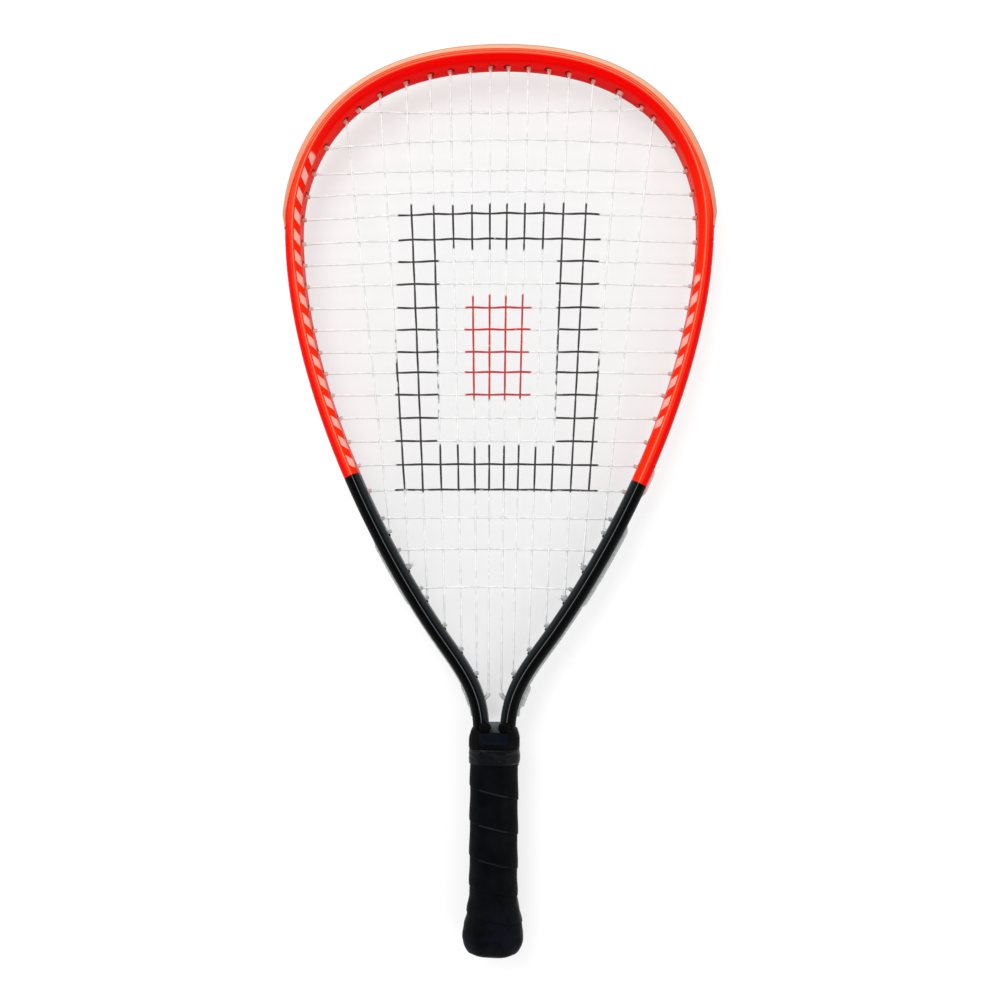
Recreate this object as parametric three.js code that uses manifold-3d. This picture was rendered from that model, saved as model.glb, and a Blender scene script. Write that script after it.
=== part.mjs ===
// A racquetball racket lying on its back: millimetres, +Y from the butt to the head, +Z up.
// One alloy tube is bent round the head, and both its legs run down into the handle.
import * as THREE from 'three';
import { mergeVertices } from 'three/addons/utils/BufferGeometryUtils.js';
import Module from 'manifold-3d';

const wasm = await Module();
wasm.setup();

// Driving sizes. A place "at" is a length along the racket, from the butt end.
const overallLength = 555;
const fit = 0.3; // gap between two pieces that touch
const cutOverrun = 2; // how far a cutting tool runs past what it cuts

// The head and the throat, as the centre line of the tube.
const headWidth = 261.3;
const widestAt = 443.5;
const throatHalfWidth = 35.9;
const throatAt = 197.2;
const throatLean = THREE.MathUtils.degToRad(34.6);
const neckHalfSpacing = 8.2;
const neckAt = 136.5;
const legHalfSpacing = 6.3;
const legBendLength = 23;
const legStraightAt = neckAt - legBendLength;
const legEndAt = 22;
const crownFlatShare = 0.94;
const crownShoulderShare = 0.2;
const flankShare = 0.32;
const throatAboveShare = 0.34;
const throatBelowShare = 0.41;
const neckShare = 0.43;
const legBendShare = 0.4;

// The tube's section: two sloping faces meet at a crest on the front and on the back. The crest
// stands a little nearer the strings, and the wall on the strings' side is the taller one.
const tubeWidth = 9.7;
const tubeDepth = 18;
const tubeWall = 0.8;
const crestHalfWidth = 0.7;
const crestInset = 0.75;
const shoulderWidthShare = 0.74;
const shoulderDepthShare = 0.78;
const innerShoulderWidthShare = 0.9;
const innerShoulderDepthShare = 0.72;
const channelLip = 1;

// Strings and the grommets they pass through.
const stringDiameter = 1.3;
const weaveGap = 0.45;
const tailGap = 0.45;
const tailLength = 4;
const barrelWall = 0.5;
const barrelStick = 2.4;
const stripThickness = 0.6;
const stripRimProud = 0.8;
const bumperProud = 2.2;
const bumperLip = 0.7;
const bumperReachShare = 0.6; // of the tube's outer sloping face
const bumperOverhang = 7.3; // past the last cross that the bumper guard holds
const stripPastNeck = 10;
const stripJoint = 0.3;
const sleeveLength = 6;
const cornerCut = 0.7;

// The handle.
const palletWall = 1.45; // outside the legs
const palletCover = 2.1; // over the legs' crests, front and back
const wrapThickness = 1.6;
const gripWidth = 2 * (legHalfSpacing + palletWall + wrapThickness + 2 * fit) + tubeWidth;
const gripDepth = 2 * (palletCover + wrapThickness + 2 * fit) + tubeDepth;
const gripBevel = 6;
const wrapPitch = 21;
const wrapSeam = 0.5;
const wrapEase = 0.6; // room under the wrap, which spans the flare's curve in flats
const wrapStartAt = 4.8;
const buttProud = 3.85; // how far the flare stands proud of the grip
const buttWidth = gripWidth + 2 * buttProud;
const flareEndAt = 36;
const capFloor = 3;
const capSkirtEndAt = 28;
const tapeThickness = 0.35;
const tapeWidth = 9;
const collarProud = 0.7;
const collarRim = 0.5; // beside the legs, at the collar's top
const collarPastNeck = 1.8;
const collarTaper = 5;
const collarBand = 6.6;
const collarNotch = 1.6;
const spigotLength = 10.2; // of the collar, inside the wrap
const collarEndAt = neckAt + collarPastNeck;
const collarShoulderAt = collarEndAt - collarTaper;
const collarLipAt = collarShoulderAt - collarBand;
const wrapEndAt = collarLipAt - fit;
const palletEndAt = collarLipAt - spigotLength - fit;
const panelWidth = 17;
const panelLength = 7;
const panelProud = 0.3;
const panelInset = 2.8; // from the collar's lip
const earRadius = 3.4;
const earInset = 1;
const earSink = 0.6; // into the notch's floor
const earAt = collarEndAt - collarNotch + earRadius - earSink;
const yokeLength = 13.5;
const yokePastNeck = 4.6;
const yokeEndAt = neckAt + yokePastNeck;
const yokeStartAt = yokeEndAt - yokeLength;
const yokeDepth = 15;
const stapleLength = 8;
const stapleWire = 0.7;
const stapleLegDepth = 5;
const stapleAt = 18;

// The butt's outline: shares of the flare's length and of the widths there.
const domeShares = [[0, 0.456], [0.036, 0.654], [0.125, 0.869]]; // width, of the butt's
const flareShares = [[0.203, 0.727], [0.264, 0.987], [0.324, 1], [0.489, 0.86], [0.658, 0.5], [1, 0]];

// Counts of steps and sides.
const crownSteps = 10;
const flankSteps = 8;
const throatSteps = 6;
const legSteps = 3;
const stringSides = 4;
const boreSides = 5;

// Where each string enters, from the middle outwards and from the head down. Lengths are shares of
// the span from the neck to the head's tip.
const mainTopShares = [0.0213, 0.0679, 0.115, 0.1618, 0.217, 0.2779, 0.3553]; // of the head's width
const mainBottomShares = [0.0543, 0.0858, 0.1214, 0.1565, 0.1962, 0.2415, 0.2926];
const crossEndShares = [
  0.9051, 0.8515, 0.8147, 0.782, 0.7482, 0.7133, 0.682, 0.6503, 0.6187, 0.5868, 0.5545, 0.5234, 0.4917,
  0.4581, 0.4241, 0.389, 0.3523, 0.312, 0.2658, 0.21,
];
const crossBowShares = [
  -0.0033, 0.012, 0.0048, 0.0069, 0.0089, 0.0069, 0.0063, 0.0048, 0.0012, 0.0012, 0.0007, 0.0024, 0.0012,
  0.0009, 0.0012, 0.0024, 0.0021, 0.0015, 0.0021, 0.0021,
];
const mainTie = 5; // the outermost main's string comes back in beside this main
const crossTopTie = 5;
const crossBottomTie = 4;
const bumperCrossCount = 5; // on each side, from the head down
const sideStripCrossCount = 12;

// Materials.
const paint = (color, roughness, metalness = 0) =>
  new THREE.MeshStandardMaterial({ color, roughness, metalness });
const neonPaint = () => paint(0xfa3e16, 0.3, 0.2);
const bumperPlastic = () => paint(0xf49a72, 0.45);
const clearPlastic = () => paint(0xd9dcdc, 0.35);
const stringNylon = () => paint(0xf2f3f0, 0.35);
const blackRubber = () => paint(0x0c0d10, 0.6);
const blackTape = () => paint(0x101216, 0.5);
const greyPlastic = () => paint(0x444648, 0.55);
const handleFoam = () => paint(0x2a2b2d, 0.8);
const steel = () => paint(0xa8aaad, 0.35, 0.9);

// Solids: a three.js geometry goes in, and a geometry with the same surface comes out.
function solidOf(geometry) {
  const bare = geometry.clone();
  bare.deleteAttribute('normal');
  bare.deleteAttribute('uv');
  const merged = mergeVertices(bare);
  const triVerts = new Uint32Array(merged.index.array);
  const vertProperties = new Float32Array(merged.attributes.position.array);
  return new wasm.Manifold(new wasm.Mesh({ numProp: 3, vertProperties, triVerts }));
}

function geometryOf(solid) {
  const mesh = solid.getMesh();
  const geometry = new THREE.BufferGeometry();
  geometry.setAttribute('position', new THREE.BufferAttribute(mesh.vertProperties, 3));
  geometry.setIndex(new THREE.BufferAttribute(mesh.triVerts, 1));
  const faceted = geometry.toNonIndexed();
  faceted.computeVertexNormals();
  return faceted;
}

const joined = (solids) => solids.reduce((all, next) => all.add(next));

function box(fromX, toX, fromY, toY, fromZ, toZ) {
  const geometry = new THREE.BoxGeometry(toX - fromX, toY - fromY, toZ - fromZ);
  geometry.translate((fromX + toX) / 2, (fromY + toY) / 2, (fromZ + toZ) / 2);
  return solidOf(geometry);
}

// A route whose rings stand exactly at the given points.
class Route extends THREE.Curve {
  constructor(points, tangents) {
    super();
    this.points = points;
    this.tangents = tangents ?? points.map((point, i) => this.bisector(i));
  }

  bisector(i) {
    const here = this.points[i];
    const arriving = here.clone().sub(this.points[Math.max(i - 1, 0)]).normalize();
    const leaving = this.points[Math.min(i + 1, this.points.length - 1)].clone().sub(here).normalize();
    return arriving.add(leaving).normalize();
  }

  getPointAt(u) {
    return this.points[Math.round(u * (this.points.length - 1))].clone();
  }

  getTangentAt(u) {
    return this.tangents[Math.round(u * (this.points.length - 1))].clone();
  }
}

function extrudeAlong(shape, route) {
  return new THREE.ExtrudeGeometry(shape, {
    extrudePath: route,
    steps: route.points.length - 1,
    curveSegments: 1,
  });
}

function regularPolygon(radius, sides) {
  const angles = Array.from({ length: sides }, (_, i) => (i * 2 * Math.PI) / sides);
  return angles.map((angle) => new THREE.Vector2(radius * Math.cos(angle), radius * Math.sin(angle)));
}

// The frame's centre line: three bends and a straight leg on each side.
const tubeHalf = tubeWidth / 2;
const headHalf = headWidth / 2 - tubeHalf;
const crownAt = overallLength - bumperProud - tubeHalf;

function bend(from, fromHandle, toHandle, to, steps) {
  const curve = new THREE.CubicBezierCurve(from, fromHandle, toHandle, to);
  return Array.from({ length: steps }, (_, i) => {
    const point = curve.getPoint(i / steps);
    const tangent = curve.getTangent(i / steps);
    return { x: point.x, y: point.y, nx: -tangent.y, ny: tangent.x };
  });
}

function rightHalfStations() {
  const at = (x, y) => new THREE.Vector2(x, y);
  const crown = at(0, crownAt);
  const widest = at(headHalf, widestAt);
  const throat = at(throatHalfWidth, throatAt);
  const neck = at(neckHalfSpacing, neckAt);
  const leg = at(legHalfSpacing, legStraightAt);
  const lean = at(Math.sin(throatLean), Math.cos(throatLean));
  const flankDrop = widestAt - throatAt;
  const throatDrop = throatAt - neckAt;
  const legDrop = neckAt - legStraightAt;
  const crownBend = bend(
    crown,
    at(crownFlatShare * headHalf, crownAt),
    at(headHalf, widestAt + crownShoulderShare * (crownAt - widestAt)),
    widest,
    crownSteps,
  );
  const flankBend = bend(
    widest,
    at(headHalf, widestAt - flankShare * flankDrop),
    throat.clone().addScaledVector(lean, throatAboveShare * flankDrop),
    throat,
    flankSteps,
  );
  const throatBend = bend(
    throat,
    throat.clone().addScaledVector(lean, -throatBelowShare * throatDrop),
    at(neckHalfSpacing, neckAt + neckShare * throatDrop),
    neck,
    throatSteps,
  );
  const legBend = bend(
    neck,
    at(neckHalfSpacing, neckAt - legBendShare * legDrop),
    at(legHalfSpacing, legStraightAt + legBendShare * legDrop),
    leg,
    legSteps,
  );
  const legRun = [legStraightAt, legEndAt].map((y) => ({ x: legHalfSpacing, y, nx: 1, ny: 0 }));
  return [...crownBend, ...flankBend, ...throatBend, ...legBend, ...legRun];
}

function measuredStations() {
  const right = rightHalfStations();
  const left = right.slice(1).map((s) => ({ x: -s.x, y: s.y, nx: -s.nx, ny: s.ny }));
  const all = [...left.reverse(), ...right];
  let along = 0;
  return all.map((station, i) => {
    if (i > 0) along += Math.hypot(station.x - all[i - 1].x, station.y - all[i - 1].y);
    return { ...station, along };
  });
}

const stations = measuredStations();
const frameLength = stations[stations.length - 1].along;
const crownAlong = frameLength / 2;
const widestAlong = stations[(stations.length - 1) / 2 + crownSteps].along;

// A point of the frame by its distance along the centre line, mirrored by a negative side.
function stationAt(along) {
  const after = Math.max(1, stations.findIndex((s) => s.along >= along));
  const [a, b] = [stations[after - 1], stations[after]];
  const t = (along - a.along) / (b.along - a.along);
  const mix = (key) => a[key] + (b[key] - a[key]) * t;
  return { x: mix('x'), y: mix('y'), nx: mix('nx'), ny: mix('ny'), along };
}

function framePoint(along, outward, z = 0, sideways = 0) {
  const s = stationAt(along);
  return new THREE.Vector3(s.x + s.nx * outward + s.ny * sideways, s.y + s.ny * outward - s.nx * sideways, z);
}

// The stretch between two distances along the frame, with every station in between.
function stretch(from, to) {
  const inner = stations.filter((s) => s.along > from + cornerCut && s.along < to - cornerCut);
  return [stationAt(from), ...inner, stationAt(to)];
}

function planarRoute(list) {
  const points = list.map((s) => new THREE.Vector3(s.x, s.y, 0));
  const tangents = list.map((s) => new THREE.Vector3(s.ny, -s.nx, 0).normalize());
  return new Route(points, tangents);
}

// A section is a list of [outward, z]; on these routes a shape's x is -z and its y is outward.
function alongFrame(section, from, to, hollow = null) {
  const corner = ([outward, z]) => new THREE.Vector2(-z, outward);
  const shape = new THREE.Shape(section.map(corner));
  if (hollow) shape.holes.push(new THREE.Path(hollow.map(corner)));
  return solidOf(extrudeAlong(shape, planarRoute(stretch(from, to))));
}

// The first distance along the right half at which the test turns true.
function alongWhere(test, from = crownAlong, to = frameLength) {
  let [low, high] = [from, to];
  for (let i = 0; i < 40; i += 1) {
    const middle = (low + high) / 2;
    if (test(middle)) high = middle;
    else low = middle;
  }
  return high;
}

// String channel: a lane for each string beside the one that comes out of a hole.
const stringRadius = stringDiameter / 2;
const laneOffset = stringDiameter + fit;
const stripInnerHalf = laneOffset + stringRadius + fit;
const stripOuterHalf = stripInnerHalf + stripThickness;
const channelHalf = stripOuterHalf + fit;
const channelDepth = fit + stripThickness + fit + stringDiameter;
const channelFloor = tubeHalf - channelDepth;
const laneOut = tubeHalf - stringRadius;
const stripFloor = channelFloor + fit;
const stripTop = stripFloor + stripThickness;
const wallFlatHalf = channelHalf + channelLip;

const mirrored = (upper) => [...upper, ...upper.map(([n, z]) => [n, -z]).reverse()];

// The tube's section grown by a clearance, without its channel.
function tubeSection(grown) {
  const half = tubeHalf + grown;
  const depth = tubeDepth / 2 + grown;
  return mirrored([
    [half, wallFlatHalf],
    [half * shoulderWidthShare, depth * shoulderDepthShare],
    [crestHalfWidth - crestInset, depth],
    [-crestHalfWidth - crestInset, depth],
    [-half * innerShoulderWidthShare, depth * innerShoulderDepthShare],
    [-half, wallFlatHalf],
  ]);
}

function frameTube() {
  const outer = tubeSection(0);
  const channel = [tubeHalf, channelFloor, channelFloor, tubeHalf];
  outer.push(...channel.map((outward, i) => [outward, i < 2 ? -channelHalf : channelHalf]));
  const innerHalf = tubeHalf - tubeWall;
  const innerDepth = tubeDepth / 2 - tubeWall;
  const inner = mirrored([
    [channelFloor - tubeWall, channelHalf + tubeWall],
    [innerHalf * shoulderWidthShare, innerDepth * shoulderDepthShare],
    [-crestInset, innerDepth],
    [-innerHalf * innerShoulderWidthShare, innerDepth * innerShoulderDepthShare],
    [-innerHalf, wallFlatHalf - tubeWall / 2],
  ]);
  return alongFrame(outer, 0, frameLength, inner);
}

// Holes, barrels and bores all follow the frame's normal at the string's place.
const acrossFlats = Math.cos(Math.PI / boreSides);
const boreRadius = (stringRadius + fit) / acrossFlats;
const tieOffset = (stringDiameter + tailGap) / 2;
const tieBoreRadius = (tieOffset + stringRadius + fit) / acrossFlats;
const bendReach = tubeHalf + barrelStick + stringRadius;
const stringSpan = overallLength - neckAt;

function pin(hole, radius, fromOut, toOut) {
  const s = stationAt(hole.along);
  const geometry = new THREE.CylinderGeometry(radius, radius, toOut - fromOut, boreSides);
  const normal = new THREE.Vector3(s.nx, s.ny, 0).normalize();
  geometry.applyQuaternion(new THREE.Quaternion().setFromUnitVectors(new THREE.Vector3(0, 1, 0), normal));
  const middle = framePoint(hole.along, (fromOut + toOut) / 2);
  geometry.translate(middle.x, middle.y, middle.z);
  return solidOf(geometry);
}

const boreOf = (hole) => (hole.tie ? tieBoreRadius : boreRadius);
const barrelOf = (hole) => boreOf(hole) + barrelWall / acrossFlats;
const drillOf = (hole) => (hole.sleeve ? barrelOf(hole) / acrossFlats : barrelOf(hole)) + fit / acrossFlats;

function placeAcrossCrown(share) {
  return alongWhere((a) => framePoint(a, -bendReach).x >= share * headWidth, crownAlong, widestAlong);
}

function placeAtLength(share) {
  return alongWhere((a) => framePoint(a, -bendReach).y <= neckAt + share * stringSpan);
}

const mainTopPlaces = mainTopShares.map(placeAcrossCrown);
const mainBottomPlaces = mainBottomShares.map(placeAtLength);
const crossPlaces = crossEndShares.map(placeAtLength);

// One side's holes; the left side's distances count down from the crown.
function holesOf(side) {
  const place = (along) => (side > 0 ? along : frameLength - along);
  const tops = mainTopPlaces.map((a, k) => ({ along: place(a), tie: side > 0 && k === crossTopTie }));
  const bottoms = mainBottomPlaces.map((a, k) => {
    const tie = k === mainTie || (side > 0 && k === crossBottomTie);
    return { along: place(a), tie, sleeve: k === 0 };
  });
  const crosses = crossPlaces.map((a) => ({ along: place(a) }));
  return { tops, bottoms, crosses, all: [...tops, ...bottoms, ...crosses] };
}

const holes = { left: holesOf(-1), right: holesOf(1) };
const allHoles = [...holes.left.all, ...holes.right.all];

function drilledFrame() {
  const drills = allHoles.map((hole) => pin(hole, drillOf(hole), -tubeHalf - cutOverrun, tubeHalf));
  return frameTube().subtract(joined(drills));
}

// Grommet strips: a base in the channel, and one barrel for each string that passes it.
function withBarrels(base, list) {
  const root = stripTop - stripThickness / 2;
  const past = stripTop + cutOverrun;
  const barrelled = list.filter((hole) => !hole.sleeve);
  const barrels = barrelled.map((hole) => pin(hole, barrelOf(hole), -tubeHalf - barrelStick, root));
  const bores = barrelled.map((hole) => pin(hole, boreOf(hole), -bendReach - cutOverrun, past));
  const sleeves = list.filter((hole) => hole.sleeve);
  const passages = sleeves.map((hole) => pin(hole, drillOf(hole), -tubeHalf, past));
  return joined([base, ...barrels]).subtract(joined([...bores, ...passages]));
}

const holesBetween = (from, to) => allHoles.filter((hole) => hole.along > from && hole.along < to);
const lastSideCross = bumperCrossCount + sideStripCrossCount - 1;
const bumperEnd = crossPlaces[bumperCrossCount - 1] + bumperOverhang;
const sideStripEnd = (crossPlaces[lastSideCross] + crossPlaces[lastSideCross + 1]) / 2;
const lowerStripEnd = alongWhere((a) => stationAt(a).y <= neckAt + stripPastNeck);

function bumperGuard() {
  const [, shoulder, crest] = tubeSection(fit);
  const skin = tubeHalf + fit;
  const top = tubeHalf + bumperProud;
  const edge = shoulder.map((corner, i) => corner + (crest[i] - corner) * bumperReachShare);
  const section = mirrored([
    [stripFloor, stripOuterHalf],
    [skin, stripOuterHalf],
    [skin, wallFlatHalf],
    shoulder,
    edge,
    [edge[0] + bumperLip / 2, edge[1] + bumperLip],
    [shoulder[0] + bumperLip, shoulder[1] + bumperLip / 2],
    [top - bumperLip / 2, wallFlatHalf],
    [top, stripOuterHalf],
    [top, stripInnerHalf],
    [stripTop, stripInnerHalf],
  ]);
  const from = frameLength - bumperEnd;
  const solid = alongFrame(section, from, bumperEnd);
  return withBarrels(solid, holesBetween(from, bumperEnd));
}

function grommetStrip(from, to) {
  const rim = tubeHalf + stripRimProud;
  const section = mirrored([
    [stripFloor, stripOuterHalf],
    [rim, stripOuterHalf],
    [rim, stripInnerHalf],
    [stripTop, stripInnerHalf],
  ]);
  return withBarrels(alongFrame(section, from, to), holesBetween(from, to));
}

// The lowest two strings turn sharply, so each runs in a soft sleeve of its own.
function throatSleeve(side) {
  const hole = side > 0 ? holes.right.bottoms[0] : holes.left.bottoms[0];
  const line = mainLine(side, 0);
  const out = framePoint(hole.along, stripTop);
  const turn = framePoint(hole.along, -bendReach);
  const up = line.top.clone().sub(turn).normalize();
  const tip = turn.clone().addScaledVector(up, sleeveLength);
  const route = new Route([out, turn, tip]);
  const skin = new THREE.Shape(regularPolygon(barrelOf(hole), boreSides));
  skin.holes.push(new THREE.Path(regularPolygon(boreOf(hole), boreSides)));
  return solidOf(extrudeAlong(skin, route));
}

// Strings. A main is the straight line between its two bends at the barrels' mouths.
const sideHoles = (side) => (side > 0 ? holes.right : holes.left);

// Where a string's middle lies in its hole: a tie-off hole holds a second string beside it.
function shiftIn(hole, towardsCrown) {
  if (!hole.tie) return 0;
  const up = hole.along > crownAlong ? -1 : 1;
  return (towardsCrown ? up : -up) * tieOffset;
}

const mainShift = (side, hole, k, atTop) => shiftIn(hole, atTop ? false : !(k === mainTie));

function mainLine(side, k) {
  const { tops, bottoms } = sideHoles(side);
  const top = framePoint(tops[k].along, -bendReach, 0, mainShift(side, tops[k], k, true));
  const bottom = framePoint(bottoms[k].along, -bendReach, 0, mainShift(side, bottoms[k], k, false));
  return { top, bottom };
}

// The way out through a hole and into a lane of the channel, towards the next hole.
function wayOut(hole, shift, lane, heading) {
  return [
    framePoint(hole.along, -bendReach, 0, shift),
    framePoint(hole.along, laneOut - cornerCut, 0, shift),
    framePoint(hole.along + heading * cornerCut, laneOut, lane, shift),
  ];
}

// From one hole's lane to the next hole's, past every station between them.
function channelRun(from, to, lane) {
  const heading = Math.sign(to.along - from.along);
  const [low, high] = heading > 0 ? [from.along, to.along] : [to.along, from.along];
  const clearOf = laneOffset + 2 * cornerCut;
  const inner = stations.filter((s) => s.along > low + clearOf && s.along < high - clearOf);
  const points = inner.map((s) => framePoint(s.along, laneOut, lane));
  return heading > 0 ? points : points.reverse();
}

function hop(from, fromShift, to, toShift, lane) {
  const heading = Math.sign(to.along - from.along);
  const leaving = wayOut(from, fromShift, lane, heading);
  const arriving = wayOut(to, toShift, lane, -heading).reverse();
  return [...leaving, ...channelRun(from, to, lane), ...arriving];
}

// A tail comes back in beside the string of a tie-off hole, and stops past the barrel.
function tail(from, fromShift, tieHole, tieShift, lane) {
  const points = hop(from, fromShift, tieHole, tieShift, lane);
  points[points.length - 1] = framePoint(tieHole.along, -bendReach - tailLength, 0, tieShift);
  return points;
}

// From the left knot up and down the mains, over the crown in the middle, to the right knot.
function mainStringPoints() {
  const half = (side) => {
    const { tops, bottoms } = sideHoles(side);
    const points = [];
    for (let k = 0; k < tops.length - 1; k += 1) {
      const atBottom = k % 2 === 0;
      const [here, next] = atBottom ? [bottoms[k], bottoms[k + 1]] : [tops[k], tops[k + 1]];
      const shifts = [k, k + 1].map((n, i) => mainShift(side, i ? next : here, n, !atBottom));
      points.push(...hop(here, shifts[0], next, shifts[1], laneOffset));
    }
    const last = bottoms[tops.length - 1];
    const tieHole = bottoms[mainTie];
    return [...points, ...tail(last, 0, tieHole, -mainShift(side, tieHole, mainTie, false), laneOffset)];
  };
  const over = hop(holes.left.tops[0], 0, holes.right.tops[0], 0, laneOffset);
  return [...half(-1).reverse(), ...over, ...half(1)];
}

// Every place where a cross passes a main, from left to right, over and under in turn.
function crossPoints(j) {
  const end = framePoint(holes.right.crosses[j].along, -bendReach);
  const bow = crossBowShares[j] * stringSpan;
  const passes = [-1, 1].flatMap((side) =>
    mainTopShares.map((_, k) => {
      const { top, bottom } = mainLine(side, k);
      const xAt = (y) => bottom.x + ((top.x - bottom.x) * (y - bottom.y)) / (top.y - bottom.y);
      const y = end.y + bow * (1 - (xAt(end.y) / end.x) ** 2);
      if (y > top.y - stringDiameter || y < bottom.y + stringDiameter) return null;
      const order = side > 0 ? k : -1 - k;
      const over = (order + j) % 2 === 0 ? 1 : -1;
      return new THREE.Vector3(xAt(y), y, over * (stringDiameter + weaveGap));
    }),
  );
  return passes.filter(Boolean).sort((a, b) => a.x - b.x);
}

// From the knot beside the crown down to the knot at the throat.
function crossStringPoints() {
  const { left, right } = holes;
  const lane = -laneOffset;
  const topTie = right.tops[crossTopTie];
  const bottomTie = right.bottoms[crossBottomTie];
  const start = tail(right.crosses[0], 0, topTie, -mainShift(1, topTie, crossTopTie, true), lane);
  const points = start.reverse();
  const last = crossPlaces.length - 1;
  for (let j = 0; j <= last; j += 1) {
    const leftwards = j % 2 === 0;
    const passes = crossPoints(j);
    points.push(...(leftwards ? passes.reverse() : passes));
    const side = leftwards ? left : right;
    if (j < last) points.push(...hop(side.crosses[j], 0, side.crosses[j + 1], 0, lane));
  }
  const tieShift = -mainShift(1, bottomTie, crossBottomTie, false);
  return [...points, ...tail(right.crosses[last], 0, bottomTie, tieShift, lane)];
}

function stringAlong(points) {
  const shape = new THREE.Shape(regularPolygon(stringRadius, stringSides));
  return solidOf(extrudeAlong(shape, new Route(points)));
}

// The handle's section is an octagon, as wide as asked and with the grip's own proportions.
const palletHalf = gripWidth / 2 - wrapThickness - fit;

function octagon(halfWidth) {
  if (halfWidth <= 0) return Array(8).fill([0, 0]);
  const halfDepth = halfWidth - (gripWidth - gripDepth) / 2;
  const bevel = gripBevel + (halfWidth - gripWidth / 2) * (2 - Math.SQRT2);
  const [x, z] = [halfWidth - bevel, halfDepth - bevel];
  return [
    [x, halfDepth], [halfWidth, z], [halfWidth, -z], [x, -halfDepth],
    [-x, -halfDepth], [-halfWidth, -z], [-halfWidth, z], [-x, halfDepth],
  ];
}

// A profile of [half width, place] turned round the handle's axis, with octagonal rings.
function turned(profile) {
  const points = profile.map(([half, at]) => new THREE.Vector2(half, at));
  const geometry = new THREE.LatheGeometry(points, 8);
  const position = geometry.attributes.position;
  for (let i = 0; i < position.count; i += 1) {
    const half = points[i % points.length].x;
    const [x, z] = octagon(half)[Math.floor(i / points.length) % 8];
    position.setXYZ(i, x, position.getY(i), z);
  }
  return solidOf(geometry);
}

const between = (list, at) => {
  const after = list.findIndex(([place]) => place >= at);
  if (after <= 0) return after === 0 ? list[0][1] : list[list.length - 1][1];
  const [[fromAt, from], [toAt, to]] = [list[after - 1], list[after]];
  return from + ((to - from) * (at - fromAt)) / (toAt - fromAt);
};

const flareOutline = flareShares.map(([placeShare, widthShare]) => [
  placeShare * flareEndAt,
  gripWidth / 2 + widthShare * buttProud,
]);
const domeOutline = domeShares.map(([placeShare, widthShare]) => [
  placeShare * flareEndAt,
  (widthShare * buttWidth) / 2,
]);
const gripOutline = [...domeOutline, ...flareOutline];
const gripHalfAt = (at) => between(gripOutline, at);
const seatHalfAt = (at) => gripHalfAt(at) - wrapThickness - fit - wrapEase;

const legRoom = (side) => {
  const room = tubeSection(fit);
  const reach = alongWhere((a) => stationAt(a).y <= yokeEndAt + cutOverrun);
  const first = { ...stationAt(frameLength), y: legEndAt - fit };
  const list = [...stretch(reach, frameLength).slice(0, -1), first];
  const points = side > 0 ? list : list.map((s) => ({ ...s, x: -s.x, nx: -s.nx })).reverse();
  const corner = ([outward, z]) => new THREE.Vector2(-z, outward);
  return solidOf(extrudeAlong(new THREE.Shape(room.map(corner)), planarRoute(points)));
};

const legRooms = joined([legRoom(-1), legRoom(1)]);

function handleBlock() {
  const start = capFloor + fit;
  return turned([[0, start], [palletHalf, start], [palletHalf, palletEndAt], [0, palletEndAt]]);
}

// Each staple is driven between the legs, through the cap's skirt and into one pallet.
function staple(side, grown) {
  const wire = stapleWire / 2 + grown;
  const [start, end] = [stapleAt - grown, stapleAt + stapleLength + grown];
  const top = seatHalfAt(stapleAt + stapleLength) - (gripWidth - gripDepth) / 2;
  const crown = top - stapleWire;
  const foot = top - stapleLegDepth - grown;
  const outer = grown > 0 ? top + buttWidth / 2 : top;
  const bar = (fromY, toY, fromZ, toZ) =>
    side > 0 ? box(-wire, wire, fromY, toY, fromZ, toZ) : box(-wire, wire, fromY, toY, -toZ, -fromZ);
  const thick = stapleWire + 2 * grown;
  return joined([
    bar(start, end, crown - grown, outer),
    bar(start, start + thick, foot, outer),
    bar(end - thick, end, foot, outer),
  ]);
}

const stapleSlots = joined([staple(1, fit), staple(-1, fit)]);

function handlePallet(side) {
  const reach = buttWidth;
  const half = side > 0 ? [fit / 2, reach] : [-reach, -fit / 2];
  const keep = box(-reach, reach, -cutOverrun, overallLength, ...half);
  return handleBlock().intersect(keep).subtract(legRooms).subtract(stapleSlots);
}

function buttCap() {
  const rim = domeOutline[domeOutline.length - 1];
  const seat = [wrapStartAt - fit, capSkirtEndAt].map((at) => [seatHalfAt(at), at]);
  const flare = flareOutline.filter(([at]) => at < capSkirtEndAt).map(([at]) => [seatHalfAt(at), at]);
  const inner = palletHalf + fit;
  const profile = [
    [0, 0],
    ...domeOutline.slice(0, -1).map(([at, half]) => [half, at]),
    [rim[1], wrapStartAt - fit],
    seat[0],
    ...flare,
    seat[1],
    [inner, capSkirtEndAt],
    [inner, capFloor],
    [0, capFloor],
  ];
  return turned(profile).subtract(stapleSlots);
}

// The wrap is one band wound up the handle. Its corners lie on the octagon's.
const wrapLoops = (wrapEndAt - wrapStartAt) / wrapPitch + 1;
const wrapRings = Math.ceil(wrapLoops * 8);
const wrapAcross = 4;

function wrapPoint(ring, across, thick) {
  const low = wrapStartAt - wrapPitch + (wrapPitch * ring) / 8;
  const at = low + across * (wrapPitch - wrapSeam);
  const half = gripHalfAt(Math.min(Math.max(at, wrapStartAt), flareEndAt)) - wrapThickness * (1 - thick);
  const [x, z] = octagon(half)[ring % 8];
  return new THREE.Vector3(-x, at, z);
}

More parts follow.
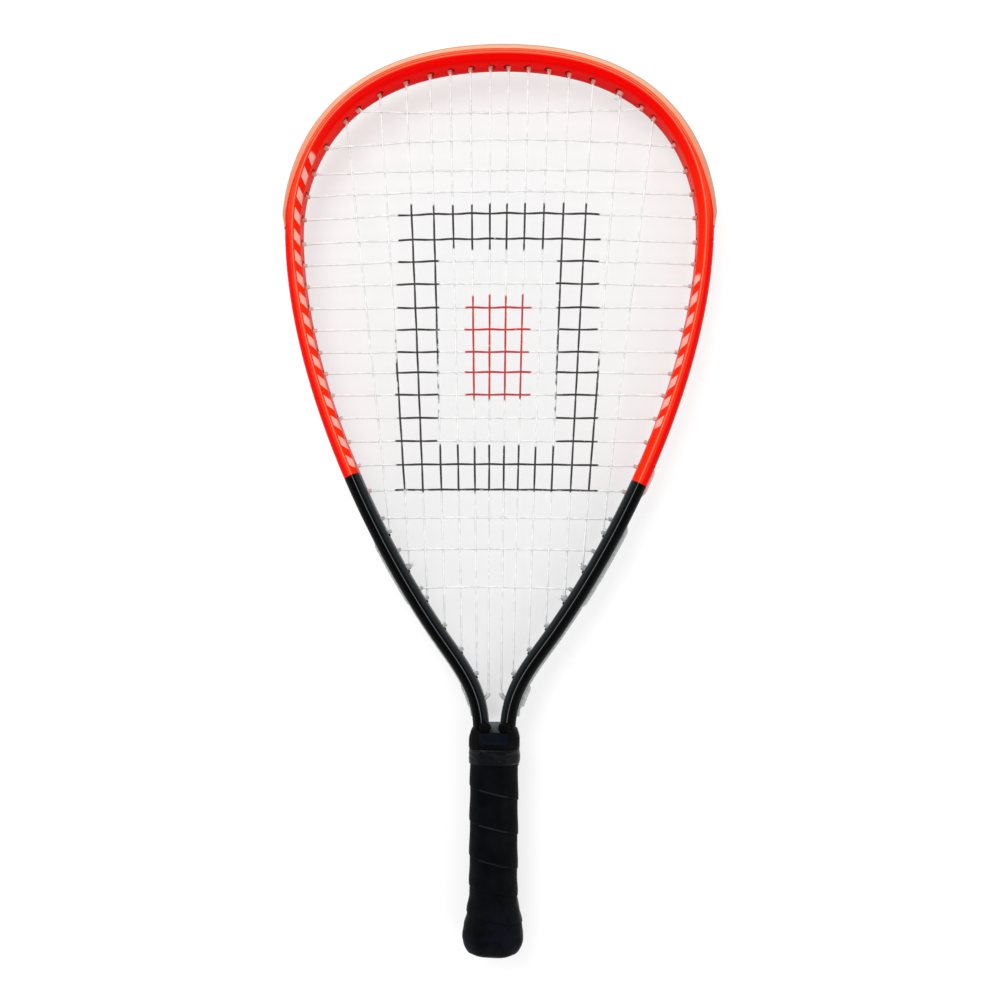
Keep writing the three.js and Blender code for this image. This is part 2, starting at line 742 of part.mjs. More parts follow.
function gripWrap() {
  const geometry = new THREE.BoxGeometry(1, 1, 1, wrapRings, wrapAcross, 1);
  const position = geometry.attributes.position;
  for (let i = 0; i < position.count; i += 1) {
    const ring = Math.round((position.getX(i) + 1 / 2) * wrapRings);
    const point = wrapPoint(ring, position.getY(i) + 1 / 2, 1 / 2 - position.getZ(i));
    position.setXYZ(i, point.x, point.y, point.z);
  }
  const slab = box(-buttWidth, buttWidth, wrapStartAt, wrapEndAt, -buttWidth, buttWidth);
  return solidOf(geometry).intersect(slab);
}

function leastWrapGap() {
  const rings = Array.from({ length: wrapRings - 8 }, (_, ring) => ring);
  return Math.min(...rings.map((ring) => wrapPoint(ring, 1, 0).distanceTo(wrapPoint(ring + 8, 0, 0))));
}

function finishingTape() {
  const inner = gripWidth / 2 + fit;
  const outer = inner + tapeThickness;
  const start = wrapEndAt - tapeWidth;
  return turned([[inner, start], [outer, start], [outer, wrapEndAt], [inner, wrapEndAt], [inner, start]]);
}

// The collar's ears stand against the legs on both sides of the yoke.
const neckInner = alongWhere((a) => stationAt(a).y <= earAt);
const earX = framePoint(neckInner, -tubeHalf).x - earInset + earRadius;
const yokeHalf = neckHalfSpacing;

function ears(radius, halfDepth) {
  const ear = (x) => {
    const geometry = new THREE.CylinderGeometry(radius, radius, 2 * halfDepth, 12);
    geometry.rotateX(Math.PI / 2);
    geometry.translate(x, earAt, 0);
    return solidOf(geometry);
  };
  return joined([ear(-earX), ear(earX)]);
}

function throatYoke() {
  const block = box(-yokeHalf, yokeHalf, yokeStartAt, yokeEndAt, -yokeDepth / 2, yokeDepth / 2);
  return block.subtract(legRooms).subtract(ears(earRadius + fit, yokeDepth));
}

function gripCollar() {
  const spigotAt = palletEndAt + fit;
  const lip = gripWidth / 2 + collarProud;
  const topHalf = neckHalfSpacing + tubeHalf + fit + collarRim;
  const faceDepth = (half) => half - (gripWidth - gripDepth) / 2;
  const body = turned([
    [0, spigotAt],
    [palletHalf, spigotAt],
    [palletHalf, collarLipAt],
    [lip, collarLipAt],
    [lip, collarShoulderAt],
    [topHalf, collarEndAt],
    [0, collarEndAt],
  ]);
  const panelAt = collarLipAt + panelInset;
  const panel = box(
    -panelWidth / 2,
    panelWidth / 2,
    panelAt,
    panelAt + panelLength,
    faceDepth(topHalf) - panelProud,
    faceDepth(lip) + panelProud,
  );
  const yokeRoomHalf = yokeDepth / 2 + fit;
  const yokeRoom = box(-yokeHalf, yokeHalf, yokeStartAt - fit, overallLength, -yokeRoomHalf, yokeRoomHalf);
  const notchAt = collarEndAt - collarNotch;
  const notch = box(-yokeHalf, yokeHalf, notchAt, overallLength, -gripWidth, gripWidth);
  const rimEars = ears(earRadius, faceDepth(topHalf));
  return body.add(panel).subtract(yokeRoom).subtract(notch).add(rimEars).subtract(legRooms);
}

// Assembly.
const racket = new THREE.Group();

function addPiece(name, solid, material) {
  const mesh = new THREE.Mesh(geometryOf(solid), material);
  mesh.name = name;
  racket.add(mesh);
}

const strips = {
  side: [bumperEnd + stripJoint, sideStripEnd],
  lower: [sideStripEnd + stripJoint, lowerStripEnd],
};

addPiece('frame_tube', drilledFrame(), neonPaint());
addPiece('bumper_guard', bumperGuard(), bumperPlastic());
for (const [place, [from, to]] of Object.entries(strips)) {
  const left = grommetStrip(frameLength - to, frameLength - from);
  addPiece(`left_${place}_grommet_strip`, left, clearPlastic());
  addPiece(`right_${place}_grommet_strip`, grommetStrip(from, to), clearPlastic());
}
addPiece('left_throat_sleeve', throatSleeve(-1), clearPlastic());
addPiece('right_throat_sleeve', throatSleeve(1), clearPlastic());
addPiece('main_string', stringAlong(mainStringPoints()), stringNylon());
addPiece('cross_string', stringAlong(crossStringPoints()), stringNylon());
addPiece('front_handle_pallet', handlePallet(1), handleFoam());
addPiece('rear_handle_pallet', handlePallet(-1), handleFoam());
addPiece('butt_cap', buttCap(), blackRubber());
addPiece('front_butt_staple', staple(1, 0), steel());
addPiece('rear_butt_staple', staple(-1, 0), steel());
addPiece('grip_wrap', gripWrap(), blackTape());
addPiece('finishing_tape', finishingTape(), blackTape());
addPiece('throat_yoke', throatYoke(), greyPlastic());
addPiece('grip_collar', gripCollar(), blackRubber());

console.log(`least gap between the grip wrap's loops: ${leastWrapGap().toFixed(2)} mm`);

const root = new THREE.Group();
racket.position.set(0, -overallLength / 2, gripDepth / 2 + buttProud);
root.add(racket);

export default root;
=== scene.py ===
"""The looks of a racquetball racket that lies on its back.

Sizes are in millimetres, and mesh_of() turns them into metres. A place "at" is a length along the racket,
from the butt end. A distance "along" runs on the frame's centre line from the crown's middle, and holes have
it negative on the left. A height is measured from the strings' middle plane."""
import math

import bpy
import numpy as np
from mathutils import Matrix, Vector
from numpy.linalg import norm


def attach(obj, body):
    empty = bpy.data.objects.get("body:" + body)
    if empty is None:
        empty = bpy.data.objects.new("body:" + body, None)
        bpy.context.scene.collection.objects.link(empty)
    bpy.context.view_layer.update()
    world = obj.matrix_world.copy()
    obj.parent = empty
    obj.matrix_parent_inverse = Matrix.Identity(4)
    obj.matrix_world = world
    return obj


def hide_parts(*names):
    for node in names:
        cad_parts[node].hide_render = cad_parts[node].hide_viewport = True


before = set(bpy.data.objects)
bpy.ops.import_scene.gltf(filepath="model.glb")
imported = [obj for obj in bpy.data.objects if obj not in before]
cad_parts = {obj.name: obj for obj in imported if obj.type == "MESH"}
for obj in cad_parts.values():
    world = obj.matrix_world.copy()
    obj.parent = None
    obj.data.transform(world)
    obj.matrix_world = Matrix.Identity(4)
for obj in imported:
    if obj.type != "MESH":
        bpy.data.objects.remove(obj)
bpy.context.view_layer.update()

# The racket's driving sizes, as in the solids.
LENGTH = 555
FIT = 0.3
NECK_AT, NECK_HALF = 136.5, 8.2
LEG_HALF, LEG_BEND, LEG_END_AT = 6.3, 23, 22
HEAD_WIDTH, WIDEST_AT = 261.3, 443.5
THROAT_HALF, THROAT_AT, THROAT_LEAN = 35.9, 197.2, math.radians(34.6)
CROWN_FLAT, CROWN_SHOULDER, FLANK_SHARE = 0.94, 0.2, 0.32
ABOVE_THROAT, BELOW_THROAT, NECK_SHARE, LEG_SHARE = 0.34, 0.41, 0.43, 0.4
TUBE_HALF, TUBE_DEPTH, CREST_INSET = 4.85, 9, 0.75
STRING_R = 0.65
STRIP_THICK = 0.6
BARREL_STICK, BARREL_WALL = 2.4, 0.42
BORE, TIE_BORE = 0.85, 1.55
BUMPER_PROUD, BUMPER_OVERHANG = 2.2, 7.3
STRIP_PAST_NECK = 10
GRIP_HALF, GRIP_DEPTH, GRIP_BEVEL = 14.8, 13.3, 6
BEVEL_GROWTH = 0.586  # of the grip's bevel with its half width
BUTT_PROUD, FLARE_END_AT = 3.85, 36
WRAP_PITCH, WRAP_START_AT, WRAP_THICK = 21, 4.8, 1.5
TAPE_WIDTH = 9
COLLAR_PAST_NECK, COLLAR_TAPER, COLLAR_BAND, COLLAR_NOTCH = 1.8, 5, 6.6, 1.6
EAR_X, EAR_SHIFT, EAR_AT, EAR_R = 5.7, 0.35, 139.5, 3.4
PANEL_INSET, PANEL_HALF, PANEL_LONG, PANEL_PROUD = 2.8, 8.5, 7, 0.3
YOKE_PAST_NECK = 4.6

# What follows from them.
STRING_Z = GRIP_DEPTH + BUTT_PROUD
LANE = 2 * STRING_R + FIT
STRIP_INNER = LANE + STRING_R + FIT
STRIP_OUTER = STRIP_INNER + STRIP_THICK
CHANNEL_HALF = STRIP_OUTER + FIT
CHANNEL_FLOOR = TUBE_HALF - 2 * FIT - STRIP_THICK - 2 * STRING_R
STRIP_FLOOR = CHANNEL_FLOOR + FIT
LANE_OUT = TUBE_HALF - STRING_R
CROWN_AT = LENGTH - BUMPER_PROUD - TUBE_HALF
SPAN = LENGTH - NECK_AT
GRIP_DROP = GRIP_HALF - GRIP_DEPTH
COLLAR_END_AT = NECK_AT + COLLAR_PAST_NECK
COLLAR_SHOULDER_AT = COLLAR_END_AT - COLLAR_TAPER
COLLAR_LIP_AT = COLLAR_SHOULDER_AT - COLLAR_BAND
WRAP_END_AT = COLLAR_LIP_AT - FIT
YOKE_END_AT = NECK_AT + YOKE_PAST_NECK

# How far inside the centre line the strings bend: in a sleeve, and in the other barrels' rounded mouths.
BEND_REACH = TUBE_HALF + BARREL_STICK + STRING_R
MOUTH_REACH = BEND_REACH - 1.5
SLEEVE_SLIDE = 2.4  # a sleeve leans: it enters the frame this far below its string's bend
SLEEVE_DROP = 0.6
WEAVE_LIFT = STRING_R + 0.01
TIE_OFFSET = STRING_R + 0.1
KNOT_R = 0.55

# Where each string enters, from the middle outwards and from the head down, in shares as in the solids.
MAIN_TOPS = [0.0213, 0.0679, 0.115, 0.1618, 0.217, 0.2779, 0.3553]
MAIN_BOTTOMS = [0.0543, 0.0858, 0.1214, 0.1565, 0.1962, 0.2415, 0.2926]
CROSS_ENDS = [
    0.9051, 0.8515, 0.8147, 0.782, 0.7482, 0.7133, 0.682, 0.6503, 0.6187, 0.5868, 0.5545, 0.5234, 0.4917,
    0.4581, 0.4241, 0.389, 0.3523, 0.312, 0.2658, 0.21,
]
CROSS_BOWS = [
    -0.0033, 0.012, 0.0048, 0.0069, 0.0089, 0.0069, 0.0063, 0.0048, 0.0012, 0.0012, 0.0007, 0.0024, 0.0012,
    0.0009, 0.0012, 0.0024, 0.0021, 0.0015, 0.0021, 0.0021,
]
MAIN_TIE, CROSS_TOP_TIE, CROSS_BOTTOM_TIE = 5, 5, 4
BUMPER_CROSSES, SIDE_CROSSES = 5, 12

# Paint and print, along the frame on the left and on the right.
PAINT_LINE = (342.1, 346.7)
BARS = ((138, 338), (216, 312))
BAR_PITCH, BAR_SLANT = 13, 1.3
PATTERN_AT = 371  # the middle of the printed blocks, along the racket
RING_OUT, RING_IN, BLOCK = (62, 88), (36, 60), (20, 32)  # half widths and half lengths
DULL = 0.035  # specular level of the darkest and the lacquered surfaces


# The frame's centre line.

def bend(p0, p1, p2, p3, steps):
    t = np.linspace(0, 1, steps, endpoint=False)[:, None]
    p0, p1, p2, p3 = np.array([p0, p1, p2, p3], float)
    points = (1 - t) ** 3 * p0 + 3 * (1 - t) ** 2 * t * p1 + 3 * (1 - t) * t * t * p2 + t ** 3 * p3
    tangents = (1 - t) ** 2 * (p1 - p0) + 2 * (1 - t) * t * (p2 - p1) + t * t * (p3 - p2)
    return np.hstack([points, tangents])


def right_half():
    half, leg_at, up = HEAD_WIDTH / 2 - TUBE_HALF, NECK_AT - LEG_BEND, np.array([0, 1])
    flank_drop, throat_drop = WIDEST_AT - THROAT_AT, THROAT_AT - NECK_AT
    lean = np.array([math.sin(THROAT_LEAN), math.cos(THROAT_LEAN)])
    side, throat = np.array([half, WIDEST_AT]), np.array([THROAT_HALF, THROAT_AT])
    neck, leg = np.array([NECK_HALF, NECK_AT]), np.array([LEG_HALF, leg_at])
    shoulder = side + CROWN_SHOULDER * (CROWN_AT - WIDEST_AT) * up
    return np.vstack([
        bend((0, CROWN_AT), (CROWN_FLAT * half, CROWN_AT), shoulder, side, 110),
        bend(side, side - FLANK_SHARE * flank_drop * up, throat + ABOVE_THROAT * flank_drop * lean,
             throat, 150),
        bend(throat, throat - BELOW_THROAT * throat_drop * lean, neck + NECK_SHARE * throat_drop * up,
             neck, 44),
        bend(neck, neck - LEG_SHARE * LEG_BEND * up, leg + LEG_SHARE * LEG_BEND * up, leg, 14),
        [[LEG_HALF, at, 0, -1] for at in np.linspace(leg_at, LEG_END_AT, 30)],
    ])


LINE = right_half()
ALONG = np.concatenate([[0], np.cumsum(np.hypot(*np.diff(LINE[:, :2], axis=0).T))])
TANGENT = LINE[:, 2:] / norm(LINE[:, 2:], axis=1)[:, None]
INNER = LINE[:, :2] + np.stack([-TANGENT[:, 1], TANGENT[:, 0]], 1) * -BEND_REACH
CROWN_POINTS = 120  # of the line, in which its inner side still widens


def beside(along, out, z=0, sideways=0):
    """A point beside the centre line, so far outwards, up and sideways."""
    side = -1 if along < 0 else 1
    rows = (*LINE[:, :2].T, *TANGENT.T)
    x, y, tangent_x, tangent_y = (np.interp(abs(along), ALONG, row) for row in rows)
    size = math.hypot(tangent_x, tangent_y)
    out_x, out_y = -side * tangent_y / size, tangent_x / size
    return np.array([side * x + out_x * out + out_y * sideways, y + out_y * out - out_x * sideways, z])


def first_along(wanted, measure):
    """Where on the line a measure first comes to a value."""
    rising = np.maximum.accumulate(measure)
    return float(np.interp(wanted, rising, ALONG[:len(rising)]))


def across_crown(share):
    return first_along(share * HEAD_WIDTH, INNER[:CROWN_POINTS, 0])


def down_flank(share):
    return first_along(-NECK_AT - share * SPAN, -INNER[:, 1])


def place_at(along):
    return float(np.interp(abs(along), ALONG, LINE[:, 1]))


class Hole:
    """A string's hole. Its drilled edge stands so far down the frame from its grommet."""

    def __init__(self, along, edge_slide=0, tie=False, sleeve=False):
        self.along, self.tie, self.sleeve = along, tie, sleeve
        self.down = math.copysign(1, along)
        self.edge_along = along + (SLEEVE_SLIDE if sleeve else edge_slide) * self.down
        self.bore = TIE_BORE if tie else BORE


EDGE_ABOVE, EDGE_BELOW = -0.9, 1.3


def holes_of(side):
    right = side > 0
    tops = [Hole(side * across_crown(share), EDGE_ABOVE, tie=right and k == CROSS_TOP_TIE)
            for k, share in enumerate(MAIN_TOPS)]
    ties = [MAIN_TIE, CROSS_BOTTOM_TIE] if right else [MAIN_TIE]
    bottoms = [Hole(side * down_flank(share), EDGE_BELOW, tie=k in ties, sleeve=k == 0)
               for k, share in enumerate(MAIN_BOTTOMS)]
    crosses = [Hole(side * down_flank(share), EDGE_ABOVE) for share in CROSS_ENDS]
    return tops, bottoms, crosses


HOLES = {side: holes_of(side) for side in (-1, 1)}
ALL_HOLES = [hole for side in HOLES.values() for group in side for hole in group]
TOPS, BOTTOMS, CROSSES = ({side: HOLES[side][i] for side in (-1, 1)} for i in range(3))
CROSS_ALONG = [hole.along for hole in CROSSES[1]]
LAST_SIDE_CROSS = BUMPER_CROSSES + SIDE_CROSSES - 1
BUMPER_END = CROSS_ALONG[BUMPER_CROSSES - 1] + BUMPER_OVERHANG
SIDE_END = (CROSS_ALONG[LAST_SIDE_CROSS] + CROSS_ALONG[LAST_SIDE_CROSS + 1]) / 2
LOWER_END = first_along(-NECK_AT - STRIP_PAST_NECK, -LINE[:, 1])
BOTH_SIDES = np.concatenate([-ALONG[:0:-1], ALONG])


# Meshes.

def in_scene(name, data):
    thing = bpy.data.objects.new(name, data)
    bpy.context.scene.collection.objects.link(thing)
    return thing


def mesh_of(name, points, faces, marks, smooth=True):
    data = bpy.data.meshes.new(name)
    metres = np.asarray(points, float) * 0.001
    metres[:, 1] -= LENGTH / 2000
    metres[:, 2] += STRING_Z / 1000
    data.from_pydata(metres.tolist(), [], [list(map(int, face)) for face in faces])
    for key, values in marks.items():
        data.attributes.new(key, "FLOAT", "POINT").data.foreach_set("value", np.asarray(values, np.float32))
    data.validate()
    data.polygons.foreach_set("use_smooth", [smooth] * len(data.polygons))
    return in_scene(name, data)


def grid_faces(rings, count, start=0):
    rows = [start + i * count for i in range(rings)]
    return [[low + j, low + (j + 1) % count, high + (j + 1) % count, high + j]
            for low, high in zip(rows[:-1], rows[1:]) for j in range(count)]


class Builder:
    """Collects closed tubes of rings into one mesh."""

    def __init__(self):
        self.points, self.faces, self.marks = [], [], {}

    def rings(self, rings, looped=False, **marks):
        """A tube with flat ends, or looped back into its first ring. Marks are values for its points."""
        rings = np.asarray(rings, float)
        total, count = rings.shape[:2]
        start = sum(len(points) for points in self.points)
        last = start + (total - 1) * count
        self.points.append(rings.reshape(-1, 3))
        self.faces += grid_faces(total, count, start)
        if looped:
            self.faces += [[last + j, last + (j + 1) % count, start + (j + 1) % count, start + j]
                           for j in range(count)]
        else:
            self.faces.append([start + j for j in reversed(range(count))])
            self.faces.append([last + j for j in range(count)])
        for key, values in marks.items():
            self.marks.setdefault(key, []).append(np.broadcast_to(values, (total, count)).reshape(-1))
        return self

    def piece(self, name, mat, slot, *nodes):
        marks = {key: np.concatenate(values) for key, values in self.marks.items()}
        piece = mesh_of(name, np.concatenate(self.points), self.faces, marks)
        coat(piece, mat)
        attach(piece, "root")
        if nodes:
            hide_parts(*nodes)


def curve_through(start, corner, end, shares):
    return [(1 - t) ** 2 * start + 2 * t * (1 - t) * corner + t * t * end for t in shares]


def fillet(corners, steps=4):
    """A closed outline with each corner (x, y, radius) rounded off."""
    outline = []
    for i, (x, y, radius) in enumerate(corners):
        here = np.array([x, y], float)
        ways = []
        for step in (-1, 1):
            way = np.array(corners[(i + step) % len(corners)][:2], float) - here
            size = norm(way)
            ways.append(way / size * min(radius, 0.48 * size))
        outline += curve_through(here + ways[0], here, here + ways[1], np.linspace(0, 1, steps))
    return np.array(outline)


def both_halves(upper):
    return upper + [(out, -z, radius) for out, z, radius in reversed(upper)]


def sweep_frame(stations, outline_at):
    """Rings of a section (out, z) along the frame, one for each station."""
    rings = []
    for along in stations:
        outline = outline_at(along)
        origin = beside(along, 0)
        ring = origin + outline[:, :1] * (beside(along, 1) - origin)
        ring[:, 2] = outline[:, 1]
        rings.append(ring)
    return np.array(rings)


def rounded(points, radius):
    """The same line with its sharp corners rounded. A corner that turns right back stays."""
    points = np.asarray(points, float)
    line = [points[0]]
    for before, here, after in zip(points[:-2], points[1:-1], points[2:]):
        back, on = before - here, after - here
        back_size, on_size = norm(back), norm(on)
        if min(back_size, on_size) < 1e-6:
            continue
        if np.dot(back, on) / back_size / on_size < -0.985:
            line.append(here)
            continue
        start = here + back / back_size * min(radius, back_size * 0.45)
        end = here + on / on_size * min(radius, on_size * 0.45)
        line += curve_through(start, here, end, (0, 0.25, 0.5, 0.75, 1))
    line.append(points[-1])
    return np.array(line)


def circle(sides):
    return np.linspace(0, 2 * math.pi, sides, endpoint=False)


def round_ring(centre, radius, side, up, sides):
    return [centre + radius * (math.cos(turn) * side + math.sin(turn) * up) for turn in circle(sides)]


def tube_rings(points, radius, sides=8):
    points = np.asarray(points, float)
    points = points[np.concatenate([[True], norm(np.diff(points, axis=0), axis=1) > 1e-4])]
    steps = np.diff(points, axis=0)
    steps /= norm(steps, axis=1)[:, None]
    tangents = np.vstack([steps[:1], steps[:-1] + steps[1:], steps[-1:]])
    tangents /= np.maximum(norm(tangents, axis=1), 1e-9)[:, None]
    side = np.cross(tangents[0], [0.31, 0.17, 0.93])
    rings = []
    for point, tangent, r in zip(points, tangents, np.broadcast_to(radius, len(points))):
        side = side - tangent * np.dot(side, tangent)
        side /= norm(side)
        rings.append(round_ring(point, r, side, np.cross(tangent, side), sides))
    return np.array(rings)


def ease(x, low, high):
    share = np.clip((x - low) / (high - low), 0, 1)
    return share * share * (3 - 2 * share)


def coat(thing, mat):
    thing.data.materials.clear()
    thing.data.materials.append(mat)


# Materials.

def srgb(*color):
    linear = [((c / 255 + 0.055) / 1.055) ** 2.4 if c > 10 else c / 255 / 12.92 for c in color]
    return (*linear, 1)


def new_node(tree, kind, inputs, **settings):
    node = tree.nodes.new("ShaderNode" + kind)
    for key, value in settings.items():
        setattr(node, key, value)
    for key, value in inputs.items():
        if isinstance(value, bpy.types.NodeSocket):
            tree.links.new(value, node.inputs[key])
        else:
            node.inputs[key].default_value = value
    return node


class Look:
    """A node material, made with short calls. A tone is a socket, or red, green and blue up to 255."""

    def __init__(self, name, tone, specular=0.5, **sockets):
        self.mat = bpy.data.materials.new(name)
        self.mat.use_nodes = True
        self.shader = self.mat.node_tree.nodes["Principled BSDF"]
        self.shader.inputs["Base Color"].default_value = srgb(*tone)
        self.shader.inputs["Specular IOR Level"].default_value = specular
        for key, value in sockets.items():
            self.shader.inputs[key.replace("_", " ")].default_value = value

    def node(self, kind, inputs, **settings):
        return new_node(self.mat.node_tree, kind, inputs, **settings)

    def math(self, operation, a, b=0, clamp=False):
        return self.node("Math", {0: a, 1: b}, operation=operation, use_clamp=clamp).outputs[0]

    def times(self, a, b):
        return self.math("MULTIPLY", a, b)

    def plus(self, a, b):
        return self.math("ADD", a, b)

    def minus(self, a, b):
        return self.math("SUBTRACT", a, b)

    def mark(self, name):
        return self.node("Attribute", {}, attribute_name=name).outputs["Fac"]

    def spot(self):
        return self.node("TexCoord", {}).outputs["Object"]

    def place(self):
        """x, y and z in the solids' frame, in metres."""
        return self.node("SeparateXYZ", {0: self.spot()}).outputs

    def step(self, value, low, high):
        """0 below low, 1 above high, and smooth between."""
        return self.node("MapRange", {0: value, 1: low, 2: high}, interpolation_type="SMOOTHSTEP").outputs[0]

    def band(self, value, low, high, soft):
        """1 from low to high, with soft ends."""
        below_high = self.minus(1, self.step(value, high - soft, high + soft))
        return self.times(self.step(value, low - soft, low + soft), below_high)

    def noise(self, scale, detail=3, rough=0.5, stretch=None):
        vector = self.spot()
        if stretch:
            vector = self.node("Mapping", {"Vector": vector, "Scale": stretch}).outputs[0]
        inputs = {"Vector": vector, "Scale": scale, "Detail": detail, "Roughness": rough}
        return self.node("TexNoise", inputs).outputs[0]

    def clouds(self, scale, detail, low, high):
        return self.step(self.noise(scale, detail), low, high)

    def mix(self, factor, a, b):
        a, b = (srgb(*tone) if isinstance(tone, tuple) else tone for tone in (a, b))
        return self.node("Mix", {0: factor, 6: a, 7: b}, data_type="RGBA", blend_type="MIX").outputs[2]

    def turn(self, value, low, high, a, b):
        return self.mix(self.step(value, low, high), a, b)

    def over(self, under, where, share, tone):
        """A tone laid over another one where a mask says, up to a share."""
        return self.mix(self.times(where, share), under, tone)

    def stripe(self, under, value, low, high, soft, share, tone):
        return self.over(under, self.band(value, low, high, soft), share, tone)

    def mix_value(self, factor, a, b):
        return self.node("Mix", {0: factor, 2: a, 3: b}, data_type="FLOAT").outputs[0]

    def ramp(self, value, *stops):
        node = self.node("ValToRGB", {0: value})
        elements = node.color_ramp.elements
        while len(elements) < len(stops):
            elements.new(0.5)
        for element, (position, tone) in zip(elements, stops):
            element.position, element.color = position, srgb(*tone)
        return node.outputs[0]

    def set(self, socket, value):
        self.mat.node_tree.links.new(value, self.shader.inputs[socket])

    def done(self, tone, rough=None, height=None, depth=0, strength=1):
        """The material, with a tone, a roughness (smoothest, roughest, scale) and a bump."""
        self.set("Base Color", tone)
        if rough:
            inputs = {0: self.noise(rough[2], 4), 1: 0.3, 2: 0.7, 3: rough[0], 4: rough[1]}
            self.set("Roughness", self.node("MapRange", inputs).outputs[0])
        if height:
            inputs = {"Height": height, "Distance": depth, "Strength": strength}
            self.set("Normal", self.node("Bump", inputs).outputs[0])
        return self.mat


def slanted_bars(look, out, along, side):
    """1 on the pale bars of the frame's inner face."""
    reach = [look.band(along, low, high, 1.5) for low, high in BARS]
    zone = look.mix_value(look.step(side, -0.5, 0.5), *reach)
    count = look.math("DIVIDE", look.plus(along, look.times(out, BAR_SLANT)), BAR_PITCH)
    bar = look.band(look.math("FRACT", count), 0.16, 0.66, 0.025)
    return look.times(look.times(bar, look.band(out, -4.7, -1.9, 0.12)), zone)


def frame_lacquer():
    """Bright orange-red lacquer above the paint line and black below it, with the tube's shading painted in:
    painted shade where facets turn from the light, and painted highlights along the crest.
    """
    look = Look("frame_lacquer", (240, 12, 4), specular=DULL)
    out, along, side = look.mark("out"), look.mark("along"), look.mark("side")
    # Painted shade: the inner facet and the inner wall are deep red at the crown, where they turn from the
    # light, and orange down the flanks.
    inner = look.turn(along, 90, 230, (244, 1, 0), (250, 42, 8))
    wall = look.turn(along, 60, 190, (255, 10, 5), (255, 46, 22))
    # Painted shade on the outer facet towards its outer edge, and a painted orange sheen on that facet where
    # the bumper ends.
    outer = look.turn(out, 3.2, 4.8, (244, 6, 1), (214, 20, 10))
    outer = look.stripe(outer, along, 140, 180, 14, 0.9, (250, 66, 36))
    red = look.turn(out, -0.2, -1.6, outer, inner)
    red = look.turn(out, -4.3, -4.8, red, wall)
    # Painted highlights along the crest: a wide orange glow, and a pale line on its top.
    red = look.stripe(red, out, -1.55, 1.3, 0.5, 0.6, (255, 66, 34))
    red = look.stripe(red, out, -1.1, -0.45, 0.2, 0.8, (255, 128, 100))
    red = look.over(red, slanted_bars(look, out, along, side), 0.88, (252, 184, 168))
    width_share = look.math("DIVIDE", look.plus(out, 5), 10)
    # The black paint's shading across the tube is painted in: painted reflections make both edges grey and
    # leave the middle black.
    black = look.ramp(width_share, (0, (50, 54, 56)), (0.05, (48, 52, 54)), (0.16, (38, 42, 44)),
                      (0.3, (8, 10, 11)), (0.46, (0, 0, 0)), (0.68, (0, 0, 0)), (0.84, (16, 17, 17)),
                      (1, (36, 37, 37)))
    # Painted highlight: a silver line along the crest.
    black = look.stripe(black, out, -0.98, -0.52, 0.16, 0.85, (100, 104, 106))
    black = look.over(black, look.clouds(1400, 2, 0.6, 0.75), 0.1, (34, 36, 40))
    edge = look.plus(along, look.times(look.minus(look.noise(300), 0.5), 0.25))
    edge = look.minus(edge, look.times(side, (PAINT_LINE[1] - PAINT_LINE[0]) / 2))
    line = sum(PAINT_LINE) / 2
    tone = look.turn(edge, line - 0.25, line + 0.25, red, black)
    return look.done(tone, (0.26, 0.38, 220), look.noise(500), 0.00003)


def bumper_plastic():
    """Pale peach on the thick lip, and orange where its thin flange lets the red through."""
    look = Look("bumper_plastic", (252, 176, 140), specular=0.2)
    out, along, lip = look.mark("out"), look.mark("along"), look.mark("lip")
    peach = look.turn(along, 70, 175, (252, 180, 144), (246, 130, 96))
    shaded = look.step(look.minus(out, look.times(along, 0.0065)), 3.45, 3.95)
    peach = look.mix(shaded, peach, (208, 154, 128))
    tone = look.turn(lip, 0.15, 0.85, (244, 98, 56), peach)
    # Painted shadow: a darker orange line on the step from the thin flange up to the lip.
    tone = look.stripe(tone, lip, 0.2, 0.8, 0.12, 0.8, (226, 84, 40))
    scuff = look.step(look.noise(140, 5, 0.65, stretch=(1, 1, 2.5)), 0.56, 0.72)
    tone = look.over(tone, scuff, 0.14, (240, 206, 188))
    return look.done(tone, (0.36, 0.55, 180), look.noise(420, 4), 0.00006)


def clear_plastic(name, by_red, by_black, through=0.3):
    """Clear plastic with painted reflections of the frame: a pinkish tone beside its red part and another
    beside its black part.
    """
    look = Look(name, by_red, IOR=1.45, Transmission_Weight=through, specular=0.35)
    cloud = look.clouds(500, 3, 0.35, 0.7)
    line = (place_at(sum(PAINT_LINE) / 2) - 7 - LENGTH / 2) / 1000
    red = look.step(look.place()[1], line - 0.003, line + 0.003)
    # Painted reflection: each tone stands for the frame's colour seen in the plastic.
    tones = [look.mix(cloud, reflected_tone, tuple(min(255, c + 16) for c in reflected_tone)) for reflected_tone in (by_black, by_red)]
    return look.done(look.mix(red, *tones), (0.2, 0.38, 300), look.noise(900, 2), 0.00003)


def printed_block(look, across, length, size):
    sides = [look.step(value, half / 1000 + 0.0008, half / 1000 - 0.0008)
             for value, half in ((across, size[0]), (length, size[1]))]
    return look.times(*sides)


def string_nylon():
    """Pale nylon with ink on the strings' middle: a plain black ring of blocks round a red one."""
    look = Look("string_nylon", (236, 238, 237), specular=0.3)
    x, y, z = look.place()
    base = look.mix(look.clouds(260, 3, 0.35, 0.65), (232, 235, 234), (249, 250, 249))
    ragged = look.times(look.minus(look.noise(170, 2), 0.5), 0.006)
    across = look.plus(look.math("ABSOLUTE", x), ragged)
    length = look.math("ABSOLUTE", look.minus(y, (PATTERN_AT - LENGTH / 2) / 1000))
    length = look.plus(length, ragged)
    outer, inner, block = (printed_block(look, across, length, size) for size in (RING_OUT, RING_IN, BLOCK))
    ring = look.math("SUBTRACT", outer, inner, clamp=True)
    front = look.step(z, (STRING_Z - 0.35) / 1000, (STRING_Z - 0.05) / 1000)
    wear = look.step(look.noise(420, 3, 0.6), 0.2, 0.34)
    cover = look.times(front, look.times(wear, 0.97))
    tone = look.over(base, ring, cover, (14, 15, 16))
    return look.done(look.over(tone, block, cover, (196, 14, 30)), (0.28, 0.42, 400))


